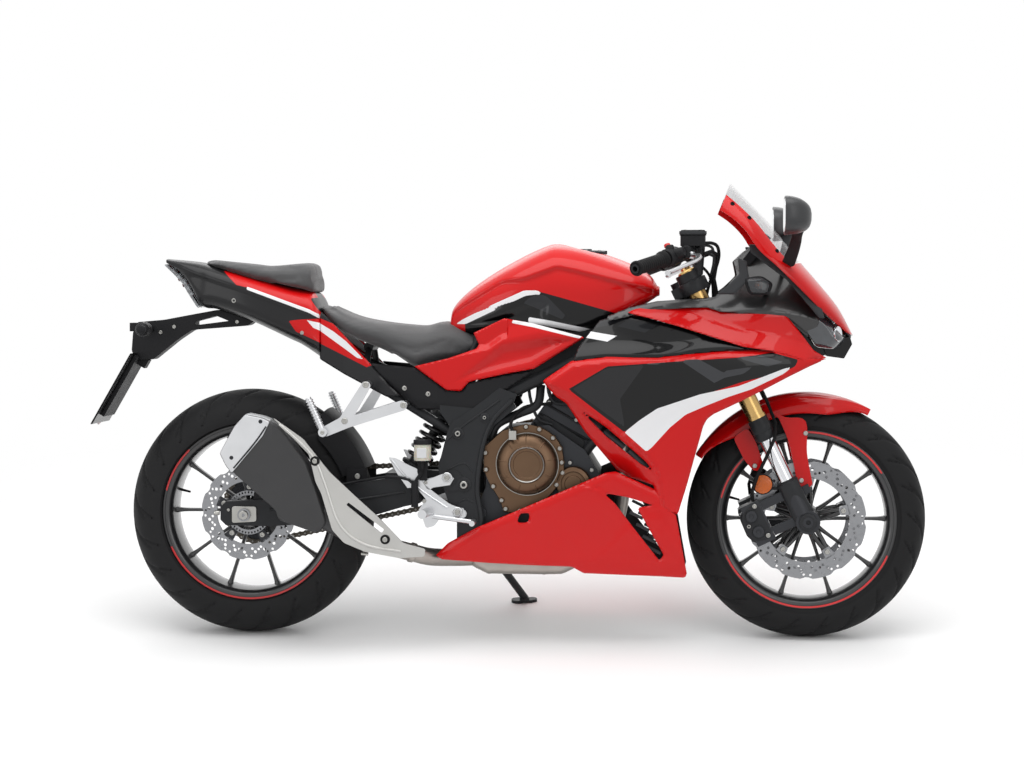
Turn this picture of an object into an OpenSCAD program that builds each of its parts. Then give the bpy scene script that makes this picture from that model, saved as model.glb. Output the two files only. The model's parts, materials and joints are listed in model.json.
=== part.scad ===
// Middleweight sport bike with a half fairing over a parallel-twin engine.
// Millimetres. +X is forward, +Y is the rider's left, +Z is up.
// Every module is drawn for an upright bike whose mid wheelbase is at x = 0 and whose tyres meet z = 0.
// The whole bike is then leaned to its left, on to its side stand.

/* [Wheels] */
// Distance between the axles
wheelbase = 1410; // [1380:5:1450]
// Front tyre outer radius
front_tyre_r = 300; // [292:1:306]
// Front tyre width
front_tyre_w = 120; // [110:2:124]
// Rear tyre outer radius
rear_tyre_r = 312; // [304:1:318]
// Rear tyre width
rear_tyre_w = 160; // [140:2:164]
// Bead seat radius of both rims
rim_r = 216; // [210:1:220]
// Front brake disc radius
front_disc_r = 148; // [140:1:155]
// Rear brake disc radius
rear_disc_r = 120; // [110:1:125]
// Front axle radius
front_axle_r = 9; // [8:0.5:10]
// Rear axle radius
rear_axle_r = 9; // [8:0.5:10]

/* [Steering] */
// Steering head angle from the vertical
rake = 25.5; // [23:0.5:27]
// Distance of the front axle ahead of the steering axis
axle_offset = 37; // [34:1:40]
// Distance of the fork legs from the middle
fork_y = 102; // [98:1:106]
// Fork stanchion radius
stanchion_r = 19; // [17:0.5:21]
// Fork outer tube radius
fork_tube_r = 25; // [23:0.5:27]
// Steering stem radius
stem_r = 15; // [13:0.5:16]
// Handlebar tube radius
bar_r = 11; // [11:0.5:11.5]
// Bore radius of the handlebar ends
bar_bore_r = 7; // [6:0.5:8]
// Distance of each bar end from the middle
bar_end_y = 362; // [340:1:370]

/* [Body] */
// Widest half width of the side fairings
fairing_hw = 232; // [225:1:245]
// Thickness of the plastic panels
panel_t = 4; // [3:0.5:5]
// Widest half width of the fuel tank
tank_hw = 158; // [150:1:165]
// Half width of the frame plates, at their outer faces
frame_hw = 146; // [142:1:150]
// Thickness of the frame plates
frame_t = 18; // [14:1:20]

/* [Stand] */
// Lean to the left on the side stand, in degrees
lean = 9; // [7:0.5:11]
// Distance of the stand's foot from the middle, along the floor
stand_foot_y = 285; // [265:5:300]

/* [Hidden] */
$fn = 48;

gap = 0.3;               // between faces of neighbouring pieces
run = 0.1;               // between a shaft and its bore
kx = wheelbase / 1410;   // the bodywork stretches with the wheelbase
front_x = wheelbase / 2;
rear_x = -wheelbase / 2;
front_z = front_tyre_r - front_tyre_w / 2 + front_tyre_w / 2 / cos(lean);
rear_z = rear_tyre_r - rear_tyre_w / 2 + rear_tyre_w / 2 / cos(lean);
front_bead = 44;
rear_bead = 57;
leg_offset = axle_offset - 4;     // fork legs ahead of the steering axis
mirror_y = 385;                   // outer edge of each mirror
peg_y = 292;                      // outer end of each rider's footpeg
tail_x = -1110 * kx;              // lower edge of the number plate
origin_x = -(tail_x + front_x + front_tyre_r) / 2;
origin_y = -((mirror_y - peg_y) * cos(lean) + (1060 + 330) * sin(lean)) / 2;

/* ---------- shared shapes ---------- */

function lerp(a, b, t) = a + (b - a) * t;
function clamp01(t) = max(0, min(1, t));
// Value at x of a table of [x, value] rows in rising x
function look(table, x, i = 0) =
  x <= table[0][0] ? table[0][1]
  : i >= len(table) - 1 ? table[len(table) - 1][1]
  : x <= table[i + 1][0]
    ? lerp(table[i][1], table[i + 1][1], (x - table[i][0]) / (table[i + 1][0] - table[i][0]))
    : look(table, x, i + 1);

module leaned() {
  translate([origin_x, origin_y, 0]) rotate([-lean, 0, 0]) children();
}

module both_sides() {
  children();
  mirror([0, 1, 0]) children();
}

// Local frame of the steering: Z along the steering axis, X forward, the axle at [axle_offset, 0, 0]
module fork_frame() {
  translate([front_x, 0, front_z]) rotate([0, -rake, 0]) translate([-axle_offset, 0, 0]) children();
}

module along_y(x, z, y0, y1) {
  translate([x, y0, z]) rotate([-90, 0, 0]) linear_extrude(y1 - y0) children();
}

// Cylinder along Y from y0 to y1
module y_rod(r, x, z, y0, y1) {
  translate([x, y0, z]) rotate([-90, 0, 0]) cylinder(r = r, h = y1 - y0);
}

// Plate with an outline in X and Z, between y0 and y1
module side_slab(outline, y0, y1, grow = 0) {
  translate([0, y1, 0]) rotate([90, 0, 0]) linear_extrude(y1 - y0)
    offset(delta = grow) polygon([for (p = outline) [p[0] * kx, p[1]]]);
}

// Straight round bar between two points
module rod(a, b, r) {
  d = b - a;
  translate(a) rotate([0, acos(d[2] / norm(d)), atan2(d[1], d[0])]) cylinder(r = r, h = norm(d));
}

// Closed solid between an outer and an inner grid of points with the same rows and columns
module shell(outer, inner) {
  n = len(outer);
  m = len(outer[0]);
  k = n * m;
  points = [for (row = outer) each row, for (row = inner) each row];
  skin = [for (i = [0:n - 2], j = [0:m - 2]) let (a = i * m + j)
    each [[a, a + m + 1, a + 1], [a, a + m, a + m + 1]]];
  back = [for (f = skin) [f[2] + k, f[1] + k, f[0] + k]];
  ends = [for (j = [0:m - 2]) each [
    [j, j + 1, j + k], [j + 1, j + 1 + k, j + k],
    [k - m + j, 2 * k - m + j, k - m + j + 1], [k - m + j + 1, 2 * k - m + j, 2 * k - m + j + 1]]];
  sides = [for (i = [0:n - 2]) let (a = i * m, b = i * m + m - 1) each [
    [a, a + k, a + m], [a + m, a + k, a + m + k],
    [b, b + m, b + k], [b + m, b + m + k, b + k]]];
  polyhedron(points, concat(skin, back, ends, sides));
}

// Closed solid through a row of rings of points
module loft(rings) {
  n = len(rings);
  m = len(rings[0]);
  walls = [for (i = [0:n - 2], j = [0:m - 1]) let (a = i * m + j, b = i * m + (j + 1) % m)
    each [[a, a + m, b], [b, a + m, b + m]]];
  polyhedron(
    [for (r = rings) each r],
    concat([[for (j = [0:m - 1]) j]], walls, [[for (j = [m - 1:-1:0]) (n - 1) * m + j]]));
}

// Rounded ring across the bike at station x: half width w, from z_low to z_high
function ring(x, w, z_low, z_high, top_power, low_power, n = 20) =
  [for (i = [0:n - 1]) let (
      a = 360 * (i + 0.5) / n, c = cos(a), s = sin(a),
      e = 2 / (s > 0 ? top_power : low_power),
      zm = lerp(z_low, z_high, 0.45))
    [x * kx, w * sign(c) * pow(abs(c), e),
     s > 0 ? zm + (z_high - zm) * pow(s, e) : zm - (zm - z_low) * pow(-s, e)]];

// Round tube through a list of points
module hose(path, r, sides = 8) {
  n = len(path);
  dirs = [for (i = [0:n - 1]) let (d = path[min(i + 1, n - 1)] - path[max(i - 1, 0)]) d / norm(d)];
  loft([for (i = [0:n - 1]) let (
      d = dirs[i],
      u = cross(d, [0.3, 0.2, 1]) / norm(cross(d, [0.3, 0.2, 1])),
      v = cross(d, u))
    [for (j = [0:sides - 1]) path[i] + r * (u * cos(360 * j / sides) + v * sin(360 * j / sides))]]);
}

/* ---------- wheels ---------- */

module tyre(x, z, r, w, bead) {
  translate([x, 0, z]) rotate([90, 0, 0]) rotate_extrude() union() {
    intersection() {
      translate([r - w / 2, 0]) circle(r = w / 2);
      translate([rim_r + 10, -w]) square([r, 2 * w]);
    }
    translate([rim_r + gap, -bead]) square([r - w / 2 - rim_r, 2 * bead]);
  }
}

module rim(x, z, bead, hub_w, hub_r, bore_r, boss_y, boss_r) {
  barrel = 14;
  flange = 7;
  spoke_r0 = hub_r - 6;
  spoke_r1 = rim_r - barrel + 3;
  translate([x, 0, z]) rotate([90, 0, 0]) difference() {
    union() {
      rotate_extrude() union() {
        translate([rim_r - barrel, -bead - flange]) square([barrel, 2 * (bead + flange)]);
        translate([rim_r - barrel, bead + gap]) square([barrel + 9, flange - gap]);
        translate([rim_r - barrel, -bead - flange]) square([barrel + 9, flange - gap]);
      }
      cylinder(r = hub_r, h = 2 * hub_w, center = true);
      // five pairs of slender spokes
      for (k = [0:4], s = [-1, 1])
        rotate([0, 0, 18 + 72 * k + s * 18]) translate([spoke_r0, -4.5, -13])
          cube([spoke_r1 - spoke_r0, 9, 26]);
      // bosses that carry the brake discs
      for (k = [0:4]) rotate([0, 0, 15 + 72 * k]) {
        translate([boss_r, 0, -boss_y]) cylinder(r = 11, h = 2 * boss_y);
        translate([hub_r - 6, -8, -boss_y + 14]) cube([boss_r - hub_r + 6, 16, 2 * boss_y - 28]);
      }
    }
    cylinder(r = bore_r, h = 400, center = true);
  }
}

module wave_disc(x, z, y0, t, r, inner_r, ear_r) {
  along_y(x, z, y0, y0 + t) difference() {
    union() {
      difference() {
        circle(r = r);
        circle(r = inner_r);
        for (k = [0:11]) rotate(30 * k) translate([r + 17, 0]) circle(r = 22);
      }
      for (k = [0:4]) rotate(-15 - 72 * k) difference() {
        translate([ear_r - 11, -12]) square([inner_r - ear_r + 16, 24]);
      }
    }
    for (k = [0:4]) rotate(-15 - 72 * k) translate([ear_r, 0]) circle(r = 4);
  }
}

front_boss_y = 60;
front_boss_r = 94;
front_disc_t = 5;
module front_tyre() color("#1c1c1e") tyre(front_x, front_z, front_tyre_r, front_tyre_w, front_bead);
module front_rim() color("#141416")
  rim(front_x, front_z, front_bead, 66, 34, front_axle_r + run, front_boss_y, front_boss_r);
module front_discs() color("#b4b4b6") both_sides()
  wave_disc(front_x, front_z, front_boss_y + gap, front_disc_t, front_disc_r, 106, front_boss_r);

rear_boss_y = 78;
rear_boss_r = 66;
rear_disc_y = -88;
module rear_tyre() color("#1c1c1e") tyre(rear_x, rear_z, rear_tyre_r, rear_tyre_w, rear_bead);
module rear_rim() color("#141416")
  rim(rear_x, rear_z, rear_bead, 84, 38, rear_axle_r + run, rear_boss_y, rear_boss_r);
module rear_disc() color("#b4b4b6")
  wave_disc(rear_x, rear_z, -rear_boss_y - gap - 5, 5, rear_disc_r, 80, rear_boss_r);

sprocket_y = 92;
sprocket_r = 92;
module rear_sprocket() color("#3a3a3c") difference() {
  union() {
    y_rod(sprocket_r - 5 - gap, rear_x, rear_z, sprocket_y - 3.5, sprocket_y + 3.5);
    y_rod(72, rear_x, rear_z, rear_boss_y + gap, sprocket_y);
    y_rod(26, rear_x, rear_z, 84 + gap, 105);
  }
  y_rod(39, rear_x, rear_z, 60, 84 + gap);
  y_rod(rear_axle_r + run, rear_x, rear_z, 60, 140);
}

/* ---------- fork and steering ---------- */

fork_top = 690;        // along the fork, above the axle
tube_low = 232;
clamp_low = 420;
clamp_high = 636;
foot_top = 112;
module leg(r, z0, z1) {
  translate([leg_offset, -fork_y, z0]) cylinder(r = r, h = z1 - z0);
}

module fork_tubes() color("#a5873f") fork_frame() both_sides() difference() {
  union() {
    leg(fork_tube_r - 2, tube_low + 60, fork_top);
    leg(fork_tube_r, tube_low, tube_low + 62);
  }
  leg(stanchion_r + run, tube_low - 1, tube_low + 160);
}

module fork_stanchions() color("#d8d8da") fork_frame() both_sides()
  leg(stanchion_r, foot_top - 40, tube_low + 158);

foot_y0 = 84;
foot_y1 = 124;
caliper_x = -112;       // centre of each front caliper from the axle, in the fork's frame
caliper_z = 52;
module fork_feet() color("#1d1d1f") fork_frame() both_sides() difference() {
  union() {
    leg(stanchion_r + 7, 24, foot_top);
    translate([axle_offset, -foot_y0, 0]) rotate([90, 0, 0]) cylinder(r = 30, h = foot_y1 - foot_y0);
    // arms that carry the caliper
    translate([-60, -foot_y1 + 12, 4]) cube([80, 16, 22]);
    translate([-60, -foot_y1 + 12, 74]) cube([80, 16, 22]);
    // lug for the mudguard's stay
    translate([44, -90, 62]) cube([34, 90 - fender_stay_y - gap, 22]);
  }
  caliper_block(gap);
  leg(stanchion_r + run, foot_top - 41, foot_top + 1);
  translate([axle_offset, 0, 0]) rotate([90, 0, 0]) cylinder(r = front_axle_r + run, h = 200);
}

front_axle_bore_r = 6;
axle_half = 128;
module front_axle() color("#8a8a8c") difference() {
  union() {
    y_rod(front_axle_r, front_x, front_z, -axle_half, axle_half);
    y_rod(14, front_x, front_z, -foot_y0 + gap, -66 - gap);
    y_rod(14, front_x, front_z, 66 + gap, foot_y0 - gap);
    y_rod(13, front_x, front_z, foot_y1 + gap, axle_half + 3);
    y_rod(13, front_x, front_z, -axle_half - 3, -foot_y1 - gap);
  }
  y_rod(front_axle_bore_r, front_x, front_z, -axle_half - 10, axle_half + 10);
}

module caliper_block(g = 0) {
  translate([axle_offset + caliper_x - 26 - g, -foot_y1 + 10 - g, caliper_z - 56 - g])
    cube([50 + 2 * g, 66 + 2 * g, 106 + 2 * g]);
  translate([axle_offset + caliper_x - 34 - g, -foot_y1 + 18 - g, caliper_z - 40 - g])
    cube([14 + 2 * g, 50 + 2 * g, 74 + 2 * g]);
}

module front_calipers() color("#1b1b1d") fork_frame() both_sides() difference() {
  caliper_block();
  // the disc runs through the caliper
  translate([axle_offset, -front_boss_y - gap - front_disc_t - 5, 0]) rotate([-90, 0, 0])
    cylinder(r = front_disc_r + 6, h = front_disc_t + 10);
  // the spokes pass beside its inner half
  translate([axle_offset, -front_boss_y, 0]) rotate([-90, 0, 0]) cylinder(r = 118, h = 40);
}

stem_bore_r = 8;
module triple_clamps() color("#202022") fork_frame() difference() {
  union() {
    for (z = [clamp_low, clamp_high]) {
      both_sides() translate([leg_offset, -fork_y, z]) cylinder(r = fork_tube_r + 9, h = 30);
      translate([-24, -fork_y, z + 1]) cube([leg_offset + 30, 2 * fork_y, 28]);
    }
    translate([0, 0, clamp_low]) cylinder(r = stem_r, h = clamp_high - clamp_low + 36);
    translate([0, 0, clamp_high + 29]) cylinder(r = 19, h = 14);
  }
  both_sides() leg(fork_tube_r - 2 + run, 300, 800);
  translate([0, 0, clamp_low - 1]) cylinder(r = stem_bore_r, h = 400);
}

// Handlebars: each bar runs from a clamp on the fork tube out to its end
bar_in = [432, -128, 982];
bar_out = [278, -bar_end_y, 926];
bar_dir = (bar_out - bar_in) / norm(bar_out - bar_in);
bar_len = norm(bar_out - bar_in);
bar_dx = front_x - 705;      // the bars move with the fork
grip_len = 128;
clip_z = clamp_high + 31;
module on_bar() {
  translate(bar_in + [bar_dx, 0, 0])
    rotate([0, acos(bar_dir[2]), atan2(bar_dir[1], bar_dir[0])]) children();
}

module handlebars() color("#1c1c1e") both_sides() difference() {
  union() {
    fork_frame() translate([leg_offset, -fork_y, clip_z]) cylinder(r = fork_tube_r + 7, h = 22);
    hull() {
      fork_frame() translate([leg_offset + 24, -fork_y - 14, clip_z + 2]) cylinder(r = 9, h = 17, $fn = 24);
      translate(bar_in + [bar_dx, 0, 0]) sphere(r = 16, $fn = 24);
    }
    on_bar() cylinder(r = bar_r, h = bar_len);
  }
  fork_frame() leg(fork_tube_r - 2 + run, 500, 800);
  on_bar() translate([0, 0, bar_len - 60]) cylinder(r = bar_bore_r, h = 61);
}

module grips() color("#161617") both_sides() on_bar() difference() {
  translate([0, 0, bar_len - grip_len]) {
    cylinder(r = 16, h = grip_len - 4);
    translate([0, 0, -6]) cylinder(r = 21, h = 8);
    translate([0, 0, grip_len - 10]) cylinder(r = 18, h = 7);
  }
  cylinder(r = bar_r + run, h = bar_len + 10);
}

// Switch housings, the brake master cylinder and the clutch perch, with their levers
module lever(sweep) {
  rotate([0, 0, sweep]) {
    hull() {
      translate([0, 0, -8]) cylinder(r = 8, h = 12, $fn = 20);
      translate([34, 14, -6]) cylinder(r = 6, h = 10, $fn = 20);
    }
    hull() {
      translate([34, 14, -6]) cylinder(r = 6, h = 10, $fn = 20);
      translate([150, 10, -6]) cylinder(r = 5, h = 10, $fn = 20);
    }
    translate([156, 10, -1]) sphere(r = 8);
  }
}

module bar_controls() color("#222224") difference() {
  union() {
    both_sides() {
      on_bar() {
        translate([-22, -22, bar_len - grip_len - 50]) cube([46, 44, 42]);
        translate([-16, -16, bar_len - grip_len - 74]) cube([32, 32, 22]);
      }
      // lever perches and levers
      translate([402 + bar_dx, -196, 960]) cylinder(r = 15, h = 22);
      translate([416 + bar_dx, -204, 964]) rotate([0, 16, -110]) lever(0);
    }
    // brake fluid reservoir, on the right
    translate([412 + bar_dx, -190, 978]) {
      hull() {
        translate([-12, 8, 0]) cylinder(r = 20, h = 34, $fn = 28);
        translate([14, -10, 0]) cylinder(r = 20, h = 34, $fn = 28);
      }
      translate([-8, 0, -22]) cylinder(r = 10, h = 30);
    }
  }
  both_sides() on_bar() cylinder(r = bar_r + run, h = bar_len + 1);
}

fender_r = front_tyre_r + 20;
fender_stay_y = 79;
module fender_section(r, half, skirt) {
  difference() {
    union() {
      translate([r - 30, 0]) intersection() {
        scale([1, 1]) circle(r = half + 4);
        translate([0, -200]) square([34, 400]);
      }
      translate([r - skirt, -half - 4]) square([skirt - 28, 2 * half + 8]);
    }
    translate([r - 30, 0]) intersection() {
      circle(r = half);
      translate([-1, -200]) square([31, 400]);
    }
    translate([r - skirt - 1, -half]) square([skirt - 28, 2 * half]);
  }
}

module front_fender() color("#c8161d") {
  translate([front_x, 0, front_z]) rotate([90, 0, 0]) rotate([0, 0, 63])
    rotate_extrude(angle = 84) fender_section(fender_r, 70, 42);
  // stays down to the fork feet
  both_sides() {
    side_slab([[610, 575], [700, 552], [704, 470], [716, 392], [704, 376], [684, 384], [668, 446], [650, 510]],
      -fender_stay_y, -fender_stay_y + 6);
    side_slab([[520, 508], [556, 530], [580, 495], [600, 432], [580, 424], [556, 446]],
      -fender_stay_y, -fender_stay_y + 6);
  }
}

// Each hose runs from the bar controls down ahead of the fork leg, round it, and into the caliper
module front_brake_hoses() color("#111112") fork_frame() both_sides() hose([
  [88, -186, 712], [108, -172, 710], [117, -140, 698], [108, -108, 678], [86, -92, 646], [74, -90, 600],
  [74, -92, 430], [74, -92, 310], [70, -104, 258], [52, -132, 226], [18, -139, 196], [-26, -133, 160],
  [-56, -116, 128], [-64, -104, caliper_z + 52.4]], 4.5);

/* ---------- frame ---------- */

head_low = clamp_low + 31;
head_high = clamp_high - 1;
plate = [
  [-70, 628], [-150, 602], [-210, 603], [-211, 574], [-186, 540], [-206, 468], [-214, 424], [-180, 330], [-168, 300], [-168, 244],
  [-138, 234], [-114, 258], [-110, 306], [-121, 384], [-106, 478], [-75, 540], [-20, 585], [-40, 625]
];
pivot_x = -178;
pivot_z = 402;
pivot_r = 10;
spar_r = 18;
spar_y = frame_hw - 26;
spar_a = [-60 * kx, -spar_y, 612];
spar_b = [130 * kx, -spar_y + 2, 702];
spar_c = [300 * kx, -84, 780];
sub_r = 12;
sub_a = [-196 * kx, -112, 588];
sub_b = [-560 * kx, -84, 760];
sub_c = [-760 * kx, -50, 868];
// A point on the steering axis, t above the level of the axle
function head_point(t) = [
  front_x - axle_offset * cos(rake) - sin(rake) * t, 0, front_z - axle_offset * sin(rake) + cos(rake) * t];

// The right half's tubes, grown by g for the seats that other pieces take on them
module frame_tubes(g = 0) {
  rod(spar_a, spar_b, spar_r + g);
  rod(spar_b, spar_c, spar_r + g);
  rod(spar_c, head_point(560) + [-16, -14, 0], spar_r + g);
  for (p = [spar_a, spar_b, spar_c]) translate(p) sphere(r = spar_r + 1 + g);
  rod(sub_a, sub_b, sub_r + g);
  rod(sub_b, sub_c, sub_r - 1 + g);
  translate(sub_b) sphere(r = sub_r + 1 + g);
  rod([-180 * kx, -124, 520], [-400 * kx, -102, 655], sub_r - 1 + g);
}

module cross_tubes(g = 0) {
  y_rod(14 + g, sub_a[0], sub_a[2], -frame_hw + frame_t - 1, frame_hw - frame_t + 1);
  y_rod(sub_r + g, sub_b[0], sub_b[2], sub_b[1], -sub_b[1]);
}

// The side stand turns on an axis that points out, up and a little forward
stand_pivot = [-122 * kx, 134, 204];
stand_axis = [0.277, 0.601, 0.75];
module on_stand_axis() {
  translate(stand_pivot)
    rotate([0, acos(stand_axis[2] / norm(stand_axis)), atan2(stand_axis[1], stand_axis[0])]) children();
}
module frame() color("#27272a") {
  difference() {
    union() {
      fork_frame() translate([0, 0, head_low]) cylinder(r = 30, h = head_high - head_low);
      both_sides() {
        side_slab(plate, -frame_hw, -frame_hw + frame_t);
        y_rod(26, pivot_x * kx, pivot_z, -frame_hw - 6, -frame_hw + frame_t);
        frame_tubes();
        // engine hanger
        rod([286 * kx, -92, 768], [214 * kx, -130, 640], 12);
        y_rod(15, 214 * kx, 640, -140, -112);
        // seat and tank supports
        rod([-400 * kx, -102, 690], [-400 * kx, -52, seat_rest - 4], 8);
        rod([300 * kx, -82, 782], [300 * kx, -50, tank_rest], 9);
        rod([-190 * kx, -108, 594], [-120 * kx, -96, 752], 9);
      }
      cross_tubes();
      y_rod(12, -400 * kx, seat_rest, -60, 60);
      y_rod(12, 300 * kx, tank_rest, -60, 60);
      y_rod(12, -120 * kx, tank_low - 12 - gap, -98, 98);
      // bracket of the side stand
      on_stand_axis() translate([0, 0, -12 - gap]) cylinder(r = 20, h = 12);
      y_rod(10, -150 * kx, 262, 112, frame_hw - frame_t + 2);
      rod([-150 * kx, 118, 262], [-132 * kx, 114, 204], 9);
      rod([-132 * kx, 114, 204], stand_pivot - 9 * stand_axis, 8);
      translate([-132 * kx, 114, 204]) sphere(r = 10.4);
    }
    fork_frame() cylinder(r = stem_r + run, h = 900);
    y_rod(pivot_r + run, pivot_x * kx, pivot_z, -200, 200);
  }
}
seat_rest = 734;
tank_rest = 827;
tank_low = 766;

/* ---------- engine ---------- */

case_hw = 112;
head_hw = 92;
chain_y0 = 84;           // inner side of the chain
chain_y1 = 100;
front_sprocket = [-40, 402];
front_sprocket_r = 36;
case_line = [
  [-112, 296], [-112, 350], [-98, 384], [-98, 452], [-110, 486], [-50, 532], [60, 540], [150, 478],
  [186, 420], [176, 330], [130, 272], [-30, 262]
];
cyl_line = [[6, 530], [110, 680], [232, 600], [150, 462]];
head_line = [[104, 672], [136, 706], [160, 712], [250, 662], [254, 640], [226, 596]];
module engine() color("#2b2b2d") {
  difference() {
    union() {
      side_slab(case_line, -case_hw, case_hw);
      // mounting lugs to the frame plates
      for (p = [[-104, 470], [-112, 320]])
        y_rod(16, p[0] * kx, p[1], -frame_hw + frame_t + gap, frame_hw - frame_t - gap);
    }
    // space for the chain behind the front sprocket
    translate([-300 * kx, chain_y0 - 4, 338]) cube([(300 + 12) * kx, 100, 112]);
  }
  y_rod(front_sprocket_r - 7 - gap, front_sprocket[0] * kx, front_sprocket[1], 70, chain_y1);
  // cylinders and head lean forward
  side_slab(cyl_line, -head_hw + 6, head_hw - 6);
  side_slab(head_line, -head_hw, head_hw);
  y_rod(17, 214 * kx, 640, -112 + gap, 112 - gap);
}

clutch = [8, 444];
module cover_disc(x, z, y, r, depth) {
  translate([x * kx, -y, z]) rotate([90, 0, 0]) {
    cylinder(r = r, h = depth * 0.5);
    translate([0, 0, depth * 0.5]) cylinder(r1 = r, r2 = r * 0.72, h = depth * 0.5);
  }
}

module engine_covers() color("#6b5a47") {
  // right: clutch cover with its flange, and the pulse cover
  cover_disc(clutch[0], clutch[1], case_hw + 16, 78, 46);
  y_rod(90, clutch[0] * kx, clutch[1], -case_hw - 17, -case_hw - gap);
  side_slab([[-60, 370], [-42, 318], [30, 318], [110, 360], [120, 430], [60, 400]],
    -case_hw - 17, -case_hw - gap);
  y_rod(42, 122 * kx, 394, -case_hw - 30, -case_hw - gap);
  // left: alternator cover and the front sprocket cover
  mirror([0, 1, 0]) {
    cover_disc(52, 410, case_hw + gap, 84, 34);
    side_slab([[-84, 340], [-84, 470], [-20, 500], [0, 350]], -case_hw - 24, -case_hw - gap);
  }
}

radiator_at = [318, 0, 500];
module radiator() color("#232325") {
  translate([radiator_at[0] * kx, 0, radiator_at[2]]) rotate([0, 12, 0]) difference() {
    translate([-18, -150, -128]) cube([36, 300, 256]);
    translate([10, -132, -118]) cube([20, 264, 236]);
    translate([-30, -132, -118]) cube([20, 264, 236]);
  }
  // brackets up to the frame
  difference() {
    both_sides() rod([340 * kx, -84, 618], [303 * kx, -84, 780], 6);
    both_sides() frame_tubes(gap);
  }
}

/* ---------- exhaust ---------- */

box_z = 196;
module exhaust_pipe() color("#8e8b86") {
  // two headers from the cylinder head down in front of the engine
  both_sides() {
    difference() {
      rod([226 * kx, -48, 636], [258 * kx, -46, 560], 17);
      side_slab(head_line, -200, 200, gap);
      side_slab(cyl_line, -200, 200, gap);
    }
    rod([258 * kx, -46, 560], [234 * kx, -40, 300], 17);
    rod([234 * kx, -40, 300], [124 * kx, -34, box_z + 8], 17);
    translate([258 * kx, -46, 560]) sphere(r = 18);
    translate([234 * kx, -40, 300]) sphere(r = 18);
  }
  // collector box under the engine
  intersection() {
    side_slab([[-140, 190], [-104, 160], [92, 158], [140, 190], [140, 226], [-140, 226]], -78, 78);
    translate([-200 * kx, -70, 0]) cube([400 * kx, 140, 400]);
  }
  rod([-130 * kx, -40, 200], pipe_a, 21);
  translate(pipe_a) rotate([20, 30, 0]) sphere(r = 22.6);
  rod(pipe_a, pipe_b, 21);
  // stay to the engine
  difference() {
    y_rod(10, -60 * kx, 250, -30, 30);
    side_slab(case_line, -200, 200, gap);
  }
  translate([-68 * kx, -14, 210]) cube([16, 28, 36]);
}
pipe_a = [-280 * kx, -150, 222];
pipe_b = [-412 * kx, -184, 264];

muffler_line = [
  [-744, 470], [-686, 566], [-622, 554], [-600, 540], [-534, 450], [-506, 372], [-484, 300], [-510, 274], [-604, 306],
  [-720, 424]
];
pillion_y = 178;
muffler_y0 = -222;
muffler_y1 = -150;
module muffler() color("#39393b") difference() {
  union() {
    hull() {
      side_slab(muffler_line, muffler_y0 + 20, muffler_y1 - 10);
      translate([-612 * kx, 0, 424]) scale([0.9, 1, 0.9]) translate([612 * kx, 0, -424])
        side_slab(muffler_line, muffler_y0, muffler_y1);
    }
    rod([-510 * kx, -190, 318], [-400 * kx, -184, 258], 25);
    // hanger on the pillion bracket
    side_slab([[-560, 470], [-486, 560], [-462, 566], [-452, 540], [-474, 440], [-540, 400]],
      -pillion_y + 12 + gap, muffler_y1 + 4);
    // tab for the heat guard
    side_slab([[-570, 480], [-512, 464], [-503, 455], [-512, 446], [-560, 420]], -204, -192);
    y_rod(9, -512 * kx, 455, muffler_y0, -192);
  }
  rod(pipe_a, pipe_b, 21 + gap);
}

module muffler_guard() color("#b9b7b2")
  side_slab([
    [-612, 560], [-540, 508], [-476, 428], [-424, 378], [-357, 318], [-293, 252], [-238, 238], [-243, 220],
    [-304, 216], [-388, 231], [-441, 253], [-470, 285], [-495, 372], [-510, 404], [-527, 470]],
    muffler_y0 - 6, muffler_y0 - gap);

/* ---------- rear suspension ---------- */

arm_y0 = 114;
arm_y1 = 138;
arm_line = [
  [-262, 420], [-262, 344], [-300, 336], [-420, 300], [-640, 284], [-752, 286], [-766, 300], [-766, 332],
  [-752, 346], [-640, 352], [-430, 392]
];
module swingarm() color("#242426") {
  difference() {
    union() {
      both_sides() {
        side_slab(arm_line, -arm_y1, -arm_y0);
        side_slab([[-150, 420], [-150, 384], [-270, 344], [-352, 340], [-352, 404], [-270, 424]], -82, -56);
      }
      // cross member ahead of the tyre
      side_slab([[-262, 420], [-262, 344], [-348, 338], [-348, 420]], -arm_y1, arm_y1);
      y_rod(24, pivot_x * kx, pivot_z, -frame_hw + frame_t + gap, frame_hw - frame_t - gap);
    }
    y_rod(rear_axle_r + run, rear_x, rear_z, -200, 200);
    // room for the chain inside the left arm
    translate([-420 * kx, chain_y0 - 4, 340]) cube([400 * kx, chain_y1 - chain_y0 + 8, 120]);
    // paddock stand thread, in the outer face of each arm
    both_sides() y_rod(spool_r, spool_x, spool_z, -arm_y1 - 1, -arm_y1 + 18);
  }
  // pivot bolt
  y_rod(pivot_r, pivot_x * kx, pivot_z, -frame_hw - 5, frame_hw + 5);
}
spool_r = 4;
spool_x = rear_x + 95;
spool_z = 306;

module rear_axle() color("#9a9a9c") {
  y_rod(rear_axle_r, rear_x, rear_z, -arm_y1 - 16, arm_y1 + 16);
  y_rod(16, rear_x, rear_z, -arm_y1 - 12, -arm_y1 - gap);
  y_rod(16, rear_x, rear_z, arm_y1 + gap, arm_y1 + 12);
  // spacers beside the hub
  y_rod(15, rear_x, rear_z, -arm_y0 + gap, -84 - gap);
  y_rod(15, rear_x, rear_z, 105 + gap, arm_y0 - gap);
}

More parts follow.
